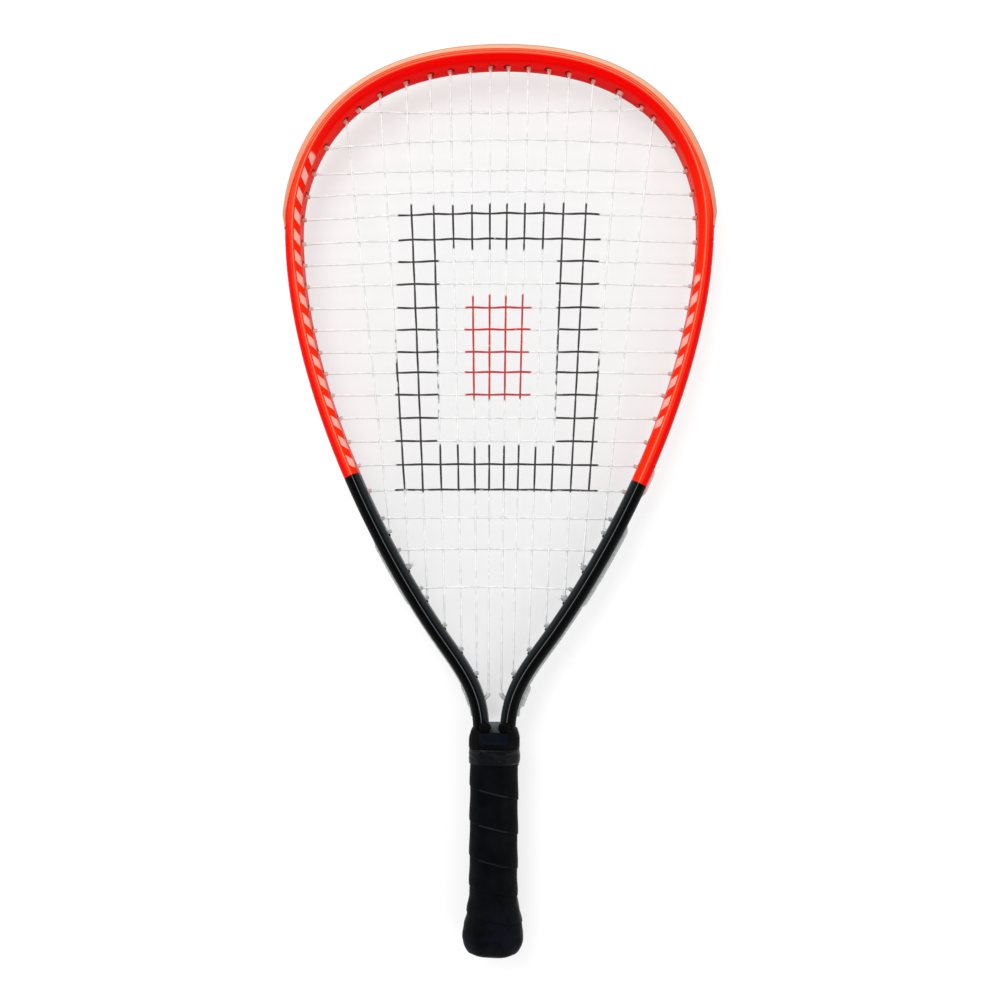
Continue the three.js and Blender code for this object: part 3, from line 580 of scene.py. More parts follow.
def grip_leather():
    """Black tacky wrap with fine pores, a painted highlight line where each turn ends, and a painted bluish
    sheen near the butt.
    """
    look = Look("grip_skin", (6, 7, 9), specular=DULL)
    pores = look.node("TexVoronoi", {"Vector": look.spot(), "Scale": 1500}).outputs[0]
    tone = look.mix(look.clouds(90, 4, 0.3, 0.7), (3, 4, 6), (10, 11, 14))
    # Painted sheen: bluish patches on the wrap near the butt.
    butt = look.step(look.place()[1], -0.235, -0.262)
    tone = look.over(tone, look.times(butt, look.clouds(45, 3, 0.48, 0.62)), 0.6, (14, 16, 27))
    tone = look.mix(look.mark("seam"), tone, (1, 1, 2))
    # Painted highlight along the edge of each turn.
    tone = look.over(tone, look.mark("edge"), 0.7, (44, 46, 50))
    height = look.plus(look.times(pores, 0.5), look.noise(160, 4))
    return look.done(tone, (0.4, 0.56, 120), height, 0.0001, 0.5)


def mottled(name, dark, light, clouds, rough=None, bump=None, depth=0, strength=1, **sockets):
    """A finish that clouds from one tone into another. Clouds and a bump are what noise() takes."""
    look = Look(name, light, **sockets)
    height = look.noise(*bump) if bump else None
    return look.done(look.mix(look.noise(*clouds), dark, light), rough, height, depth, strength)


# Painted shade: dark red-brown for the shaded gaps of the holes in the frame's wall, also used on the dark
# nubs.
def dark_hole_shade():
    return mottled("dark_hole_shade", (10, 4, 4), (42, 12, 10), (1500,), None, (1500,), 0.00003,
                   specular=0.1, Roughness=0.7)


def black_rubber(name, smoothest, roughest):
    return mottled(name, (2, 2, 3), (11, 11, 13), (110, 4), (smoothest, roughest, 150), (1300,), 0.00004,
                   specular=DULL)


def panel_rubber():
    return mottled("panel_rubber", (7, 11, 19), (12, 17, 27), (200,), (0.38, 0.52, 240), specular=DULL)


def grey_plastic():
    return mottled("yoke_plastic", (92, 97, 100), (104, 109, 112), (160, 4), (0.42, 0.6, 200), (1800,),
                   0.00005, specular=0.1)


def tape_vinyl():
    return mottled("tape_vinyl", (3, 4, 6), (10, 12, 18), (140,), (0.28, 0.42, 160),
                   (260, 5, 0.6, (1, 3, 1)), 0.0001, 0.4, specular=0.12)


def pallet_foam():
    return mottled("pallet_foam", (34, 35, 37), (54, 55, 58), (900, 4), (0.7, 0.9, 500), (1600,), 0.0001)


def staple_steel():
    return mottled("staple_steel", (150, 152, 156), (188, 190, 192), (700, 4), (0.28, 0.45, 900),
                   (1500, 2, 0.5, (1, 8, 1)), 0.00003, Metallic=1)


# The frame tube.

def build_frame():
    half, depth, crest = TUBE_HALF, TUBE_DEPTH, CREST_INSET
    outline = fillet(both_halves([
        (CHANNEL_FLOOR, CHANNEL_HALF, 0.2), (half - 0.2, CHANNEL_HALF, 0.25),
        (half - 0.05, CHANNEL_HALF + 0.9, 0.8), (0.74 * half, 0.78 * depth, 1.8),
        (-crest + 0.65, depth, 0.45), (-crest - 0.65, depth, 0.45), (-0.9 * half, 0.72 * depth, 1.1),
        (-half, 4.4, 1.2),
    ]))
    rings = sweep_frame(BOTH_SIDES, lambda along: outline)
    built = Builder().rings(rings, out=outline[None, :, 0], along=np.abs(BOTH_SIDES)[:, None],
                            side=np.sign(BOTH_SIDES)[:, None])
    built.piece("frame_tube_lacquered", frame_lacquer(), "frame_alloy", "frame_tube")


# The bumper guard, the grommets and their strips.

def face_height(out):
    return float(np.interp(out, [-0.1, 3.59, 4.8], [9, 7.02, 4.35]))


def bumper_corners(along):
    """Corners (out, z, radius, lip): a thin flange on the sloping face, a thick lip and the outer wall."""
    share = 1 - 0.8 * ease(abs(along), BUMPER_END - 10, BUMPER_END - 0.3)
    proud = BUMPER_PROUD * share
    shoulder = (3.75 + 0.76 * share, 7.12 + 0.46 * share)
    edge = min(1.6 + 2.5 * ease(abs(along), 138, 186), shoulder[0] - 0.3)
    flange = min(0.05 + 3.6 * ease(abs(along), 122, 172), edge - 0.2)
    flange_z, edge_z = face_height(flange), face_height(edge)
    inside, outside = TUBE_HALF + 0.08, TUBE_HALF + proud
    return [
        (STRIP_FLOOR, STRIP_OUTER, 0.1, 1), (inside, STRIP_OUTER, 0.1, 1), (inside, 4.35, 0.4, 1),
        (3.75, 7.08, 0.3, 1), (flange, flange_z + 0.03, 0.02, 0), (flange + 0.1, flange_z + 0.2, 0.08, 0),
        (edge - 0.12, edge_z + 0.26, 0.06, 0), (edge + 0.14, edge_z + 0.3 + 0.44 * share, 0.2, 1),
        (*shoulder, 0.9, 1), (TUBE_HALF + 0.8 * proud, 4.6, 1, 1), (outside, 3.3, 0.8, 1),
        (outside - 0.1, STRIP_INNER, 0.2, 1), (STRIP_FLOOR + 0.6, STRIP_INNER, 0.1, 1),
    ]


def bumper_outline(along):
    return fillet(both_halves([corner[:3] for corner in bumper_corners(along)]))


def build_bumper():
    inner = BOTH_SIDES[np.abs(BOTH_SIDES) < BUMPER_END - 0.2]
    stations = np.array([-BUMPER_END, *inner, BUMPER_END])
    outs = np.array([bumper_outline(along)[:, 0] for along in stations])
    lip = np.array([corner[3] for corner in bumper_corners(0)])
    lips = np.repeat(np.concatenate([lip, lip[::-1]]), 4)
    built = Builder().rings(sweep_frame(stations, bumper_outline), out=outs, along=np.abs(stations)[:, None],
                            lip=lips[None, :])
    built.piece("bumper_guard_moulded", bumper_plastic(), "bumper_plastic", "bumper_guard")


def round_about(along, profile, sides=16):
    """Turns (radius, reach) round a hole's axis; reach runs inwards from the frame."""
    origin = beside(along, -TUBE_HALF)
    inward = beside(along, -TUBE_HALF - 1) - origin
    side, up = np.array([-inward[1], inward[0], 0]), np.array([0, 0, 1])
    return [round_ring(origin + reach * inward, radius, side, up, sides) for radius, reach in profile]


def add_barrels(builder, low, high):
    """Barrels with rounded mouths on the holes between low and high."""
    for hole in ALL_HOLES:
        if hole.sleeve or not low < hole.along < high:
            continue
        bore, outer, mouth = hole.bore, hole.bore + BARREL_WALL, BARREL_STICK
        profile = [(outer + 0.1, -1.5), (outer + 0.08, 0), (outer, 0.6), (outer - 0.06, mouth - 0.5),
                   (outer - 0.2, mouth - 0.1), (outer - 0.45, mouth + 0.1), (bore + 0.02, mouth - 0.1),
                   (bore, mouth - 0.6), (bore, -1.5)]
        builder.rings(round_about(hole.along, profile), looped=True)


def build_hole_shades():
    """Dark discs of painted shade for the holes' gaps beside the barrels, and a dark nub below each lower
    one.
    """
    nub = [(0.75, -0.5), (0.75, 0.5), (0.55, 0.8), (0.15, 0.9)]
    lower = [hole for row in BOTTOMS.values() for hole in row if not hole.sleeve]
    built = Builder()
    for hole in ALL_HOLES:
        radius = hole.bore + 1.3
        profile = [(radius + 0.12, -0.05), (radius, 0.04), (radius - 0.9, 0.03), (radius - 1.2, -0.3)]
        built.rings(round_about(hole.edge_along, profile, 20))
        if hole in lower:
            built.rings(round_about(hole.along + (hole.bore + 1.1) * hole.down, nub, 12))
    built.piece("hole_shades_and_nubs", dark_hole_shade(), "frame_alloy")


# Where a strip's clear rim stands out past the frame, on the left and on the right: from one place at to
# another, and how far.
RIMS = ([(216, 253, 1), (167, 217, 0.5), (152.5, 168, 1.2), (145, 152.5, 0.5)],
        [(283, 298, 1.4), (216, 263.5, 2.1), (167, 217, 1.2), (152.5, 168, 2.9), (145, 152.5, 1.25)])


def rim_height(along):
    at = place_at(along)
    rises = [rise * ease(at, low - 1.5, low + 2) * (1 - ease(at, high - 2.5, high + 1))
             for low, high, rise in RIMS[int(along > 0)]]
    return 0.3 + float(max(rises))


def strip_outline(along):
    rim = TUBE_HALF + rim_height(along) - 0.1
    return fillet(both_halves([(STRIP_FLOOR, STRIP_OUTER, 0.1), (rim, STRIP_OUTER, 0.25),
                               (rim, STRIP_INNER, 0.25), (STRIP_FLOOR + 0.6, STRIP_INNER, 0.1)]), 3)


def build_strips():
    plastic = clear_plastic("strip_plastic", (240, 204, 198), (190, 194, 192))
    for side, word in ((-1, "left"), (1, "right")):
        for place, low, high in (("side", BUMPER_END + FIT, SIDE_END), ("lower", SIDE_END + FIT, LOWER_END)):
            inner = [along for along in ALONG if low + 0.5 < along < high - 0.5]
            stations = sorted(side * along for along in (low, *inner, high))
            built = Builder().rings(sweep_frame(stations, strip_outline))
            add_barrels(built, *sorted((side * low, side * high)))
            node = f"{word}_{place}_grommet_strip"
            built.piece(node + "_clear", plastic, "clear_plastic", node)
    built = Builder()
    add_barrels(built, -BUMPER_END, BUMPER_END)
    # Painted reflection: the crown's barrels are strongly pink from the red frame round them.
    red_reflecting_plastic = clear_plastic("barrel_plastic", (240, 168, 152), (214, 217, 216))
    built.piece("crown_barrels_clear", red_reflecting_plastic, "clear_plastic")


# Strings.

def shift_in(hole, towards_crown):
    """How far aside a string lies in a tie-off hole, which holds a second one."""
    return (-hole.down if towards_crown else hole.down) * TIE_OFFSET * hole.tie


def main_shift(side, k, at_top):
    hole = (TOPS if at_top else BOTTOMS)[side][k]
    return shift_in(hole, not at_top and k != MAIN_TIE)


def mouth(hole, shift=0):
    """Where the string bends as it leaves its hole."""
    reach, drop = (BEND_REACH, SLEEVE_DROP) if hole.sleeve else (MOUTH_REACH, 0)
    return beside(hole.along, -reach, 0, shift) - [0, drop, 0]


def sleeve_entry(hole):
    return beside(hole.edge_along, -TUBE_HALF + 0.6)


def main_line(side, k):
    top, bottom = TOPS[side][k], BOTTOMS[side][k]
    return mouth(top, main_shift(side, k, True)), mouth(bottom, main_shift(side, k, False))


def way_out(hole, shift, lane, heading):
    """From a string's bend through its hole into its lane of the channel."""
    wall = [sleeve_entry(hole)] if hole.sleeve else []
    return [mouth(hole, shift), *wall, beside(hole.along, LANE_OUT, 0, shift),
            beside(hole.along + heading * 1.5, LANE_OUT, lane * 0.8, shift),
            beside(hole.along + heading * 3, LANE_OUT, lane)]


def hop(here, here_shift, there, there_shift, lane):
    """From one hole to another, outside the frame."""
    heading = math.copysign(1, there.along - here.along)
    low, high = sorted((here.along, there.along))
    between = np.arange(low + 4, high - 4, 3)
    run = [beside(along, LANE_OUT, lane) for along in (between if heading > 0 else between[::-1])]
    return [*way_out(here, here_shift, lane, heading), *run,
            *way_out(there, there_shift, lane, -heading)[::-1]]


def tail(hole, tie, tie_shift, lane):
    """A string's end: out through its own hole, and in through a tie-off hole."""
    bent = beside(tie.along, -BEND_REACH - 1.2, 0.6, tie_shift * 1.1)
    end = beside(tie.along, -BEND_REACH - 2.2, 1, tie_shift * 1.3)
    return [*hop(hole, 0, tie, tie_shift, lane), bent, end]


def crossings():
    """Where main k on a side meets cross j: its x, its y and 1 where the cross is over."""
    found = {}
    for j, bow in enumerate(CROSS_BOWS):
        end = beside(CROSS_ALONG[j], -MOUTH_REACH)
        for side in (-1, 1):
            for k in range(len(MAIN_TOPS)):
                top, bottom = main_line(side, k)
                slope = (top[0] - bottom[0]) / (top[1] - bottom[1])
                x_at_end = bottom[0] + slope * (end[1] - bottom[1])
                y = end[1] + bow * SPAN * (1 - (x_at_end / end[0]) ** 2)
                if bottom[1] + 2 * STRING_R < y < top[1] - 2 * STRING_R:
                    order = k if side > 0 else -1 - k
                    found[side, k, j] = (bottom[0] + slope * (y - bottom[1]), y, 1 - 2 * ((order + j) % 2))
    return found


CROSSINGS = crossings()


def woven(knots, start, end):
    """A line that passes over or under each (x, y, sign)."""
    stops = [(*start[:2], 0), *[(x, y, sign * WEAVE_LIFT) for x, y, sign in knots], (*end[:2], 0)]
    line = []
    for here, there in zip(np.array(stops[:-1]), np.array(stops[1:])):
        steps = max(3, int(norm(there - here) / 2.2))
        for share in np.linspace(0, 1, steps, endpoint=False):
            point = here + (there - here) * share
            point[2] = here[2] + (there[2] - here[2]) * (0.5 - 0.5 * math.cos(math.pi * share))
            line.append(point)
    return line


def main_run(side, k):
    top, bottom = main_line(side, k)
    knots = [(x, y, -sign) for key, (x, y, sign) in CROSSINGS.items() if key[:2] == (side, k)]
    return woven(sorted(knots, key=lambda knot: knot[1]), bottom, top)


def half_mains(side):
    points = []
    for k in range(len(MAIN_TOPS)):
        run = main_run(side, k)
        points += run if k % 2 == 1 else run[::-1]
        if k < len(MAIN_TOPS) - 1:
            at_top = k % 2 == 1
            row = (TOPS if at_top else BOTTOMS)[side]
            points += hop(row[k], main_shift(side, k, at_top), row[k + 1], main_shift(side, k + 1, at_top),
                          LANE)
    tie = BOTTOMS[side][MAIN_TIE]
    return points + tail(BOTTOMS[side][-1], tie, -main_shift(side, MAIN_TIE, False), LANE)


def main_points():
    over = hop(TOPS[-1][0], 0, TOPS[1][0], 0, LANE)
    return [*half_mains(-1)[::-1], *over, *half_mains(1)]


# The cross string's tie-off holes, with the shift of its ends in them.
CROSS_TIES = [(TOPS[1][CROSS_TOP_TIE], -main_shift(1, CROSS_TOP_TIE, True)),
              (BOTTOMS[1][CROSS_BOTTOM_TIE], -main_shift(1, CROSS_BOTTOM_TIE, False))]


def cross_points():
    points = tail(CROSSES[1][0], *CROSS_TIES[0], -LANE)[::-1]
    for j in range(len(CROSS_ENDS)):
        knots = sorted((knot for key, knot in CROSSINGS.items() if key[2] == j), key=lambda knot: knot[0])
        line = woven(knots, mouth(CROSSES[-1][j]), mouth(CROSSES[1][j]))
        points += line[::-1] if j % 2 == 0 else line
        holes = CROSSES[-1 if j % 2 == 0 else 1]
        if j < len(CROSS_ENDS) - 1:
            points += hop(holes[j], 0, holes[j + 1], 0, -LANE)
    return [*points, *tail(CROSSES[1][-1], *CROSS_TIES[1], -LANE)]


def knot_rings(hole, shift):
    """A small overhand knot where a tail comes in."""
    centre = beside(hole.along, -BEND_REACH - 1, 0.3, shift * 0.5)
    inwards = beside(hole.along, -BEND_REACH - 2, 0.3, shift * 0.5) - centre
    across = np.cross(inwards, [0, 0, 1])
    points = []
    for turn in circle(48):
        wide = (math.sin(turn) + 2 * math.sin(2 * turn)) * 0.42
        high = (math.cos(turn) - 2 * math.cos(2 * turn)) * 0.42
        points.append(centre - inwards * math.sin(3 * turn) * 0.6 + across * wide + [0, 0, high])
    return tube_rings(points, KNOT_R)


def build_strings():
    nylon = string_nylon()
    main_ties = [(BOTTOMS[side][MAIN_TIE], -main_shift(side, MAIN_TIE, False)) for side in (-1, 1)]
    for word, points, ties in (("main", main_points(), main_ties), ("cross", cross_points(), CROSS_TIES)):
        built = Builder().rings(tube_rings(rounded(points, 0.8), STRING_R))
        for tie, shift in ties:
            built.rings(knot_rings(tie, shift), looped=True)
        built.piece(f"{word}_string_woven", nylon, "string_nylon", f"{word}_string")


def build_sleeves():
    plastic = clear_plastic("sleeve_plastic", (224, 226, 225), (224, 226, 225), 0.25)
    for side, word in ((-1, "left"), (1, "right")):
        hole = BOTTOMS[side][0]
        top, turn = main_line(side, 0)
        up = (top - turn) / norm(top - turn)
        floor = beside(hole.along, STRIP_FLOOR + 0.6)
        line = rounded([floor, sleeve_entry(hole), turn, turn + up * 0.9], 1)
        fine = [a + (b - a) * share for a, b in zip(line[:-1], line[1:]) for share in (0, 0.5)] + [line[-1]]
        outer = tube_rings(fine, np.linspace(1.45, 1.12, len(fine)), 16)
        inner = tube_rings(fine, 0.8, 16)
        built = Builder().rings(np.concatenate([outer, inner[::-1]]), looped=True)
        built.piece(f"{word}_throat_sleeve_clear", plastic, "clear_plastic", f"{word}_throat_sleeve")


# The handle.

def octagon(half, depth, bevel, sides):
    """A rounded octagon: x and z for points spaced evenly round it."""
    quarter = [(half - bevel, depth), (half, depth - bevel)]
    right = quarter + [(x, -z) for x, z in reversed(quarter)]
    corners = right + [(-x, z) for x, z in reversed(right)]
    outline = fillet([(x, z, bevel * 0.6) for x, z in corners], 6)
    closed = np.vstack([outline, outline[:1]])
    length = np.concatenate([[0], np.cumsum(norm(np.diff(closed, axis=0), axis=1))])
    wanted = np.linspace(0, length[-1], sides, endpoint=False)
    return np.stack([np.interp(wanted, length, closed[:, i]) for i in (0, 1)], 1)


def handle_ring(half, sides, inset=0):
    bevel = GRIP_BEVEL + (half - GRIP_HALF) * BEVEL_GROWTH
    return octagon(half - inset, half - inset - GRIP_DROP, bevel, sides)


def upright(ring, at):
    """A ring (x, z) stood across the handle at a place."""
    return np.stack([ring[:, 0], np.broadcast_to(at, len(ring)), ring[:, 1]], 1)


def grown(ring, height):
    return ring * (1 + height / norm(ring, axis=1))[:, None]


BUTT_HALF = GRIP_HALF + BUTT_PROUD
DOME = [(0, 0.456), (0.036, 0.654), (0.125, 0.897)]
FLARE = [(0.203, 0.86), (0.264, 0.987), (0.324, 1), (0.489, 0.86), (0.658, 0.5), (1, 0)]
OUTLINE_AT = [share * FLARE_END_AT for share, _ in DOME + FLARE]
OUTLINE_HALF = [width * BUTT_HALF for _, width in DOME]
OUTLINE_HALF += [GRIP_HALF + width * BUTT_PROUD for _, width in FLARE]


def smooth_outline():
    """The grip's half width at each place, with the measured points joined smoothly."""
    fine = np.linspace(0, 60, 601)
    half = np.interp(fine, OUTLINE_AT, OUTLINE_HALF)
    kernel = np.hanning(31)
    padded = np.pad(half, 15, mode="edge")
    soft = np.convolve(padded, kernel / kernel.sum(), "valid")
    blend = np.clip((fine - 4) / 3, 0, 1)
    return fine, half * (1 - blend) + soft * blend


OUT_AT, OUT_HALF = smooth_outline()


def grip_half_at(at):
    return np.interp(at, OUT_AT, OUT_HALF)


def turn_of(ring):
    return np.arctan2(ring[:, 1], ring[:, 0])


def wrap_height(at, turns):
    """The wound band's height, which climbs over its own edge once a turn, its groove, and a painted
    highlight along that edge.
    """
    drawn = at - 0.28 * np.maximum(0, 54 - at)
    phase = (drawn + WRAP_PITCH * turns + 10.95) / WRAP_PITCH
    share = phase - np.floor(phase)
    step = ease(share, 0, 0.035) * (1 - ease(share, 0.1, 0.8))
    groove = np.exp(-(share / 0.012) ** 2) + np.exp(-((share - 1) / 0.012) ** 2)
    return 0.5 * step - 0.25 * groove, groove, np.exp(-((share - 0.045) / 0.02) ** 2)


def build_wrap():
    sides = 144
    rings, seams, edges = [], [], []
    for at in (*np.linspace(WRAP_START_AT, 40, 150, endpoint=False), *np.linspace(40, WRAP_END_AT, 330)):
        ring = handle_ring(grip_half_at(at), sides, inset=0.3)
        turn = turn_of(ring)
        height, groove, edge = wrap_height(at, -turn / (2 * math.pi))
        fade = ease(at, 5.5, 16)
        ripple = 0.12 * np.sin(at * 0.7 + 4 * turn) * (1 - ease(at, 20, 60))
        rings.append(upright(grown(ring, (height + ripple) * fade), at))
        seams.append(np.clip(groove * fade, 0, 1))
        # The painted highlight shows only on the middle facets, and fades out towards the butt.
        in_front = 1 - ease(np.abs(ring[:, 0]), 7.5, 9.5)
        edges.append(edge * fade * ease(at, 40, 70) * in_front)
    inner_at = (WRAP_END_AT, 40, 20, 10, WRAP_START_AT)
    inner = [upright(handle_ring(grip_half_at(at) - WRAP_THICK, sides), at) for at in inner_at]
    blank = [np.zeros(sides)] * len(inner)
    built = Builder().rings(rings + inner, looped=True, seam=seams + blank, edge=edges + blank)
    built.piece("grip_wrap_wound", grip_leather(), "grip_tape", "grip_wrap")


# The cap's domed end, whose skin folds over it: places, and shares of the butt's half width.
BUTT_END = [(0, 0), (0, 0.3), (0, 0.46), (0.25, 0.535), (0.8, 0.615), (1.6, 0.71), (2.9, 0.82),
            (4.4, 0.878), (5.2, 0.889), (5.6, 0.89), (5.6, 0.6)]


def build_butt():
    rings = []
    for at, share in BUTT_END:
        half = max(share * BUTT_HALF, 0.05)
        drop = GRIP_DROP if half > 4 else half * 0.2
        ring = octagon(half, half - drop, half * 0.42, 96)
        sag = 0.12 * np.sin(3 * turn_of(ring) + 1.1) * ease(half, 3, 9) * (1 - ease(at, 2.5, 4.5))
        rings.append(upright(ring, at + 0.14 + sag))
    rubber = black_rubber("butt_rubber", 0.3, 0.5)
    Builder().rings(rings).piece("butt_cap_domed", rubber, "black_rubber", "butt_cap")


# Each fold of the finishing tape's front: (x, at) of its ends, its height and its half width.
FOLDS = [
    ((-6, 125), (9, 121.4), 0.5, 0.7), ((1, 122.6), (12, 117.8), 0.42, 0.8),
    ((-14, 125.8), (-8, 124.4), 0.4, 0.6), ((6, 124.4), (14, 125.6), 0.35, 0.6),
    ((-13, 123.2), (-9, 120.6), 0.35, 0.7), ((3, 119.6), (12, 118.6), 0.35, 0.6),
]


def fold_height(x, at):
    total = 0
    for (x0, at0), (x1, at1), high, half in FOLDS:
        share = np.clip((x - x0) / (x1 - x0), -0.15, 1.15)
        off = at - (at0 + (at1 - at0) * share - 0.8 * share * (1 - share))
        ends = ease(x, x0 - 1.5, x0 + 1.5) * (1 - ease(x, x1 - 1.5, x1 + 1.5))
        total = total + high * ends * np.exp(-(off / half) ** 2)
    return total


def build_tape():
    sides = 200
    low, high = WRAP_END_AT - TAPE_WIDTH, WRAP_END_AT + 0.1
    outer = octagon(GRIP_HALF + 0.3, GRIP_DEPTH + 0.3, GRIP_BEVEL, sides)
    inner = octagon(GRIP_HALF - 0.3, GRIP_DEPTH - 0.3, GRIP_BEVEL, sides)
    wave = 2 * np.sin(turn_of(outer) + 0.7)
    x_from_above = np.where(outer[:, 1] > 0, outer[:, 0], -outer[:, 0])
    rings = []
    for at in np.linspace(low, high, 60):
        end = min(at - low, high - at)
        ripple = 0.08 * np.sin(at * 1.9 + wave) * ease(end, 0.2, 1.2)
        bulge = 0.55 * np.exp(-((at - 120.8) / 2.4) ** 2) * ease(outer[:, 0], 9, 14)
        swell = 0.25 * ease(end, 0, 0.7)
        rings.append(upright(grown(outer, swell + ripple + fold_height(x_from_above, at) + bulge), at))
    rings += [upright(inner, high), upright(inner, low)]
    built = Builder().rings(rings, looped=True)
    built.piece("finishing_tape_folded", tape_vinyl(), "finishing_tape", "finishing_tape")


def plate(outline, layers):
    """Rings of an outline (x, at) at each (z, inset)."""
    low, high = outline.min(0), outline.max(0)
    middle, half = (high + low) / 2, (high - low) / 2
    return [np.column_stack([middle + (outline - middle) * (1 - inset / half), np.full(len(outline), z)])
            for z, inset in layers]


LIP_HALF = GRIP_HALF + 0.7
COLLAR_TOP_HALF = NECK_HALF + TUBE_HALF + 0.8


def collar_rings():
    """The collar's body, with a notch between its ears."""
    start, shoulder, end = COLLAR_LIP_AT, COLLAR_SHOULDER_AT, COLLAR_END_AT
    lip, top = LIP_HALF, COLLAR_TOP_HALF
    profile = [
        (start - 4, 12.6), (start, 12.6), (start, lip - 0.6), (start + 0.15, lip - 0.2), (start + 0.6, lip),
        (shoulder - 1.6, lip), (shoulder - 0.2, lip - 0.12), (shoulder + 1.4, lip - 0.55),
        (end - 1.2, top + 0.4), (end - 0.35, top + 0.1), (end, top - 0.45), (end, top - 1.2),
        (end - 3, top - 1.6),
    ]
    rings = []
    for at, half in profile:
        ring = handle_ring(half, 240)
        cut = 1 - ease(np.abs(ring[:, 0]), NECK_HALF - 0.3, NECK_HALF + 0.3)
        rings.append(upright(ring, at - max(at - end + COLLAR_NOTCH, 0) * cut))
    return rings


def build_collar():
    built = Builder().rings(collar_rings())
    front = COLLAR_TOP_HALF - GRIP_DROP
    for side in (-1, 1):
        disc = np.stack([side * EAR_X + EAR_SHIFT + EAR_R * np.cos(circle(40)),
                         EAR_AT + EAR_R * np.sin(circle(40))], 1)
        built.rings(plate(disc, [(front, 1.1), (front - 0.25, 0.4), (front - 0.9, 0), (7.4, 0)]))
        built.rings(plate(disc, [(-7.4, 2), (0.9 - front, 2), (0.25 - front, 2.3), (-front, 2.8)]))
    rubber = black_rubber("collar_rubber", 0.42, 0.6)
    built.piece("grip_collar_moulded", rubber, "black_rubber", "grip_collar")


def build_panel():
    outline = octagon(PANEL_HALF, PANEL_LONG / 2, 0.7, 80) + [0, COLLAR_LIP_AT + PANEL_INSET + PANEL_LONG / 2]
    high = LIP_HALF - GRIP_DROP + PANEL_PROUD
    layers = [(high - 3.5, 0), (high - 0.3, 0), (high - 0.05, 0.12), (high, 0.35), (high, 0.6),
              (high - 0.08, 0.7), (high - 0.08, 3)]
    built = Builder().rings(plate(outline, layers)[::-1])
    built.piece("collar_panel_bare", panel_rubber(), "black_rubber")


def build_yoke():
    """The grey bridge between the legs; the collar's ears stand over its sides."""
    end = YOKE_END_AT
    right = [(3.4, NECK_AT - 8, 0.5), (3.5, NECK_AT, 0.5), (4.5, end - 2, 0.8), (4.6, end, 0.25)]
    outline = fillet(right + [(-x, at, radius) for x, at, radius in reversed(right)], 5)
    layers = [(-7.5, 0.35), (-7.35, 0.1), (-7.1, 0), (7.1, 0), (7.35, 0.1), (7.5, 0.35)]
    built = Builder().rings(plate(outline, layers))
    built.piece("throat_yoke_moulded", grey_plastic(), "yoke_plastic", "throat_yoke")


build_frame()
build_hole_shades()
build_bumper()
build_strips()
build_strings()
build_sleeves()
build_wrap()
build_butt()
build_tape()
build_collar()
build_panel()
build_yoke()

for kind, mat in (("handle_pallet", pallet_foam()), ("butt_staple", staple_steel())):
    for word in ("front", "rear"):
        coat(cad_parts[f"{word}_{kind}"], mat)


# Floor, light and camera.

CAMERA_AT = np.array([20.56, 213.6, 572])  # x, at and the height over the strings
CAMERA_TURN, CAMERA_ROLL = -0.03108, 0.00745
FOCAL, SHIFT_Y = 0.93428, 0.1048  # shares of the picture's width
SENSOR = 36
FLOOR_GAP, FLOOR_REACH = 0.3, 6000
TONE_EDGE = 2.5  # half the width of the floor's change of tone


def build_floor():
    """White paper with painted shade inside the head, a little darker towards the throat; the change of tone
    lies under the frame.
    """
    level = -STRING_Z - FLOOR_GAP
    keep = LINE[LINE[:, 1] > NECK_AT + 7, :2]
    loop = np.vstack([keep, keep[:0:-1] * [-1, 1]])
    foot = CAMERA_AT[:2]
    loop = foot + (loop - foot) * (CAMERA_AT[2] - level) / CAMERA_AT[2]
    middle = np.array([0, 370])
    spokes = (loop - middle) / norm(loop - middle, axis=1)[:, None]
    count = len(loop)
    flat = np.vstack([middle, loop - TONE_EDGE * spokes, loop + TONE_EDGE * spokes,
                      middle + FLOOR_REACH * spokes])
    points = np.hstack([flat, np.full((len(flat), 1), level)])
    faces = [[0, 1 + (j + 1) % count, 1 + j] for j in range(count)]
    faces += [face[::-1] for face in grid_faces(3, count, 1)]
    marks = {"inside": [1] * (count + 1) + [0] * (2 * count)}
    floor = mesh_of("studio_floor", points, faces, marks, smooth=False)
    coat(floor, studio_paper())


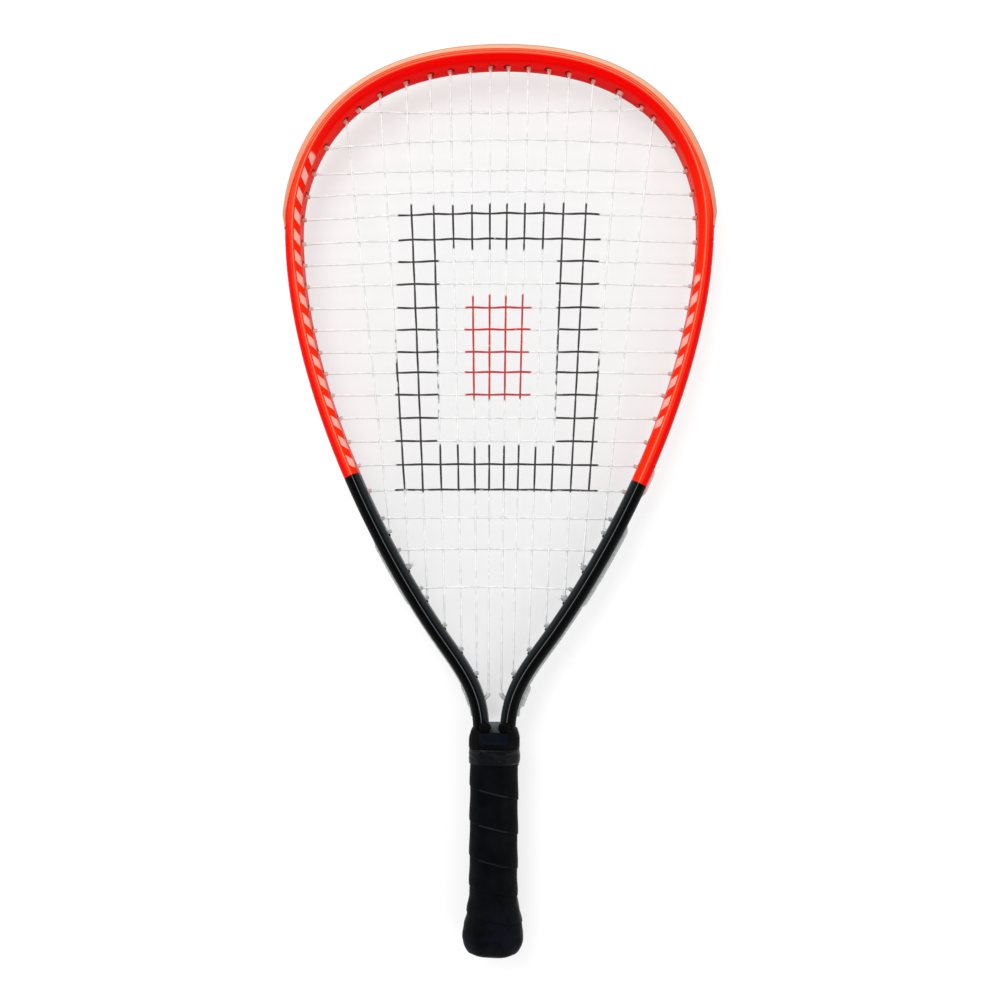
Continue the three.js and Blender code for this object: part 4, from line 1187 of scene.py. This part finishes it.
def studio_paper():
    """Paper that glows in the camera's sight and in reflections, and takes shadows."""
    look = Look("studio_paper", (179, 179, 179), Roughness=0.9, specular=0)
    rays = look.node("LightPath", {}).outputs
    seen = look.math("MAXIMUM", rays["Is Camera Ray"], rays["Is Glossy Ray"])
    seen = look.math("MAXIMUM", seen, rays["Is Transmission Ray"])
    look.shader.inputs["Emission Color"].default_value = (1, 1, 1, 1)
    # Painted shade: the glow is lower inside the head, and lower still towards the throat.
    fall = look.node("MapRange", {0: look.place()[1], 1: 0.27, 2: 0.1, 3: 0.1, 4: 0.128}).outputs[0]
    glow = look.minus(0.64, look.times(look.mark("inside"), fall))
    look.set("Emission Strength", look.times(seen, glow))
    return look.done(look.mix_value(look.noise(3), 0.44, 0.46))


def build_world():
    """A bright band round the horizon under a dimmer sky, as in a light tent."""
    world = bpy.data.worlds.new("studio")
    bpy.context.scene.world = world
    world.use_nodes = True
    tree = world.node_tree
    way = new_node(tree, "SeparateXYZ", {0: new_node(tree, "TexCoord", {}).outputs["Generated"]})
    inputs = {0: way.outputs["Z"], 1: 0.3, 2: 0.95, 3: 1.1, 4: 0.25}
    level = new_node(tree, "MapRange", inputs, interpolation_type="SMOOTHSTEP")
    back = tree.nodes["Background"]
    back.inputs["Color"].default_value = (1, 1, 1, 1)
    tree.links.new(level.outputs[0], back.inputs["Strength"])


def lamp(name, place, size, watts):
    data = bpy.data.lights.new(name, "AREA")
    data.shape, data.size, data.energy = "DISK", size, watts
    light = in_scene(name, data)
    light.location = place
    light.rotation_euler = (-Vector(place)).to_track_quat("-Z", "Y").to_euler()


def build_camera():
    data = bpy.data.cameras.new("camera")
    camera = in_scene("camera", data)
    data.sensor_width = SENSOR
    data.lens = SENSOR * FOCAL
    data.shift_y = SHIFT_Y
    data.clip_start, data.clip_end = 0.01, 50
    x, at, z = CAMERA_AT
    camera.location = (x / 1000, (at - LENGTH / 2) / 1000, (STRING_Z + z) / 1000)
    turn = Matrix.Rotation(-CAMERA_TURN, 3, "Y") @ Matrix.Rotation(CAMERA_ROLL, 3, "Z")
    camera.rotation_euler = turn.to_euler()
    bpy.context.scene.camera = camera


build_floor()
build_world()
lamp("key", (-0.7, 0.9, 1.6), 1.2, 16)
lamp("fill", (0.9, -0.5, 1.5), 1.4, 7)
build_camera()

bpy.context.scene.view_settings.view_transform = "Standard"
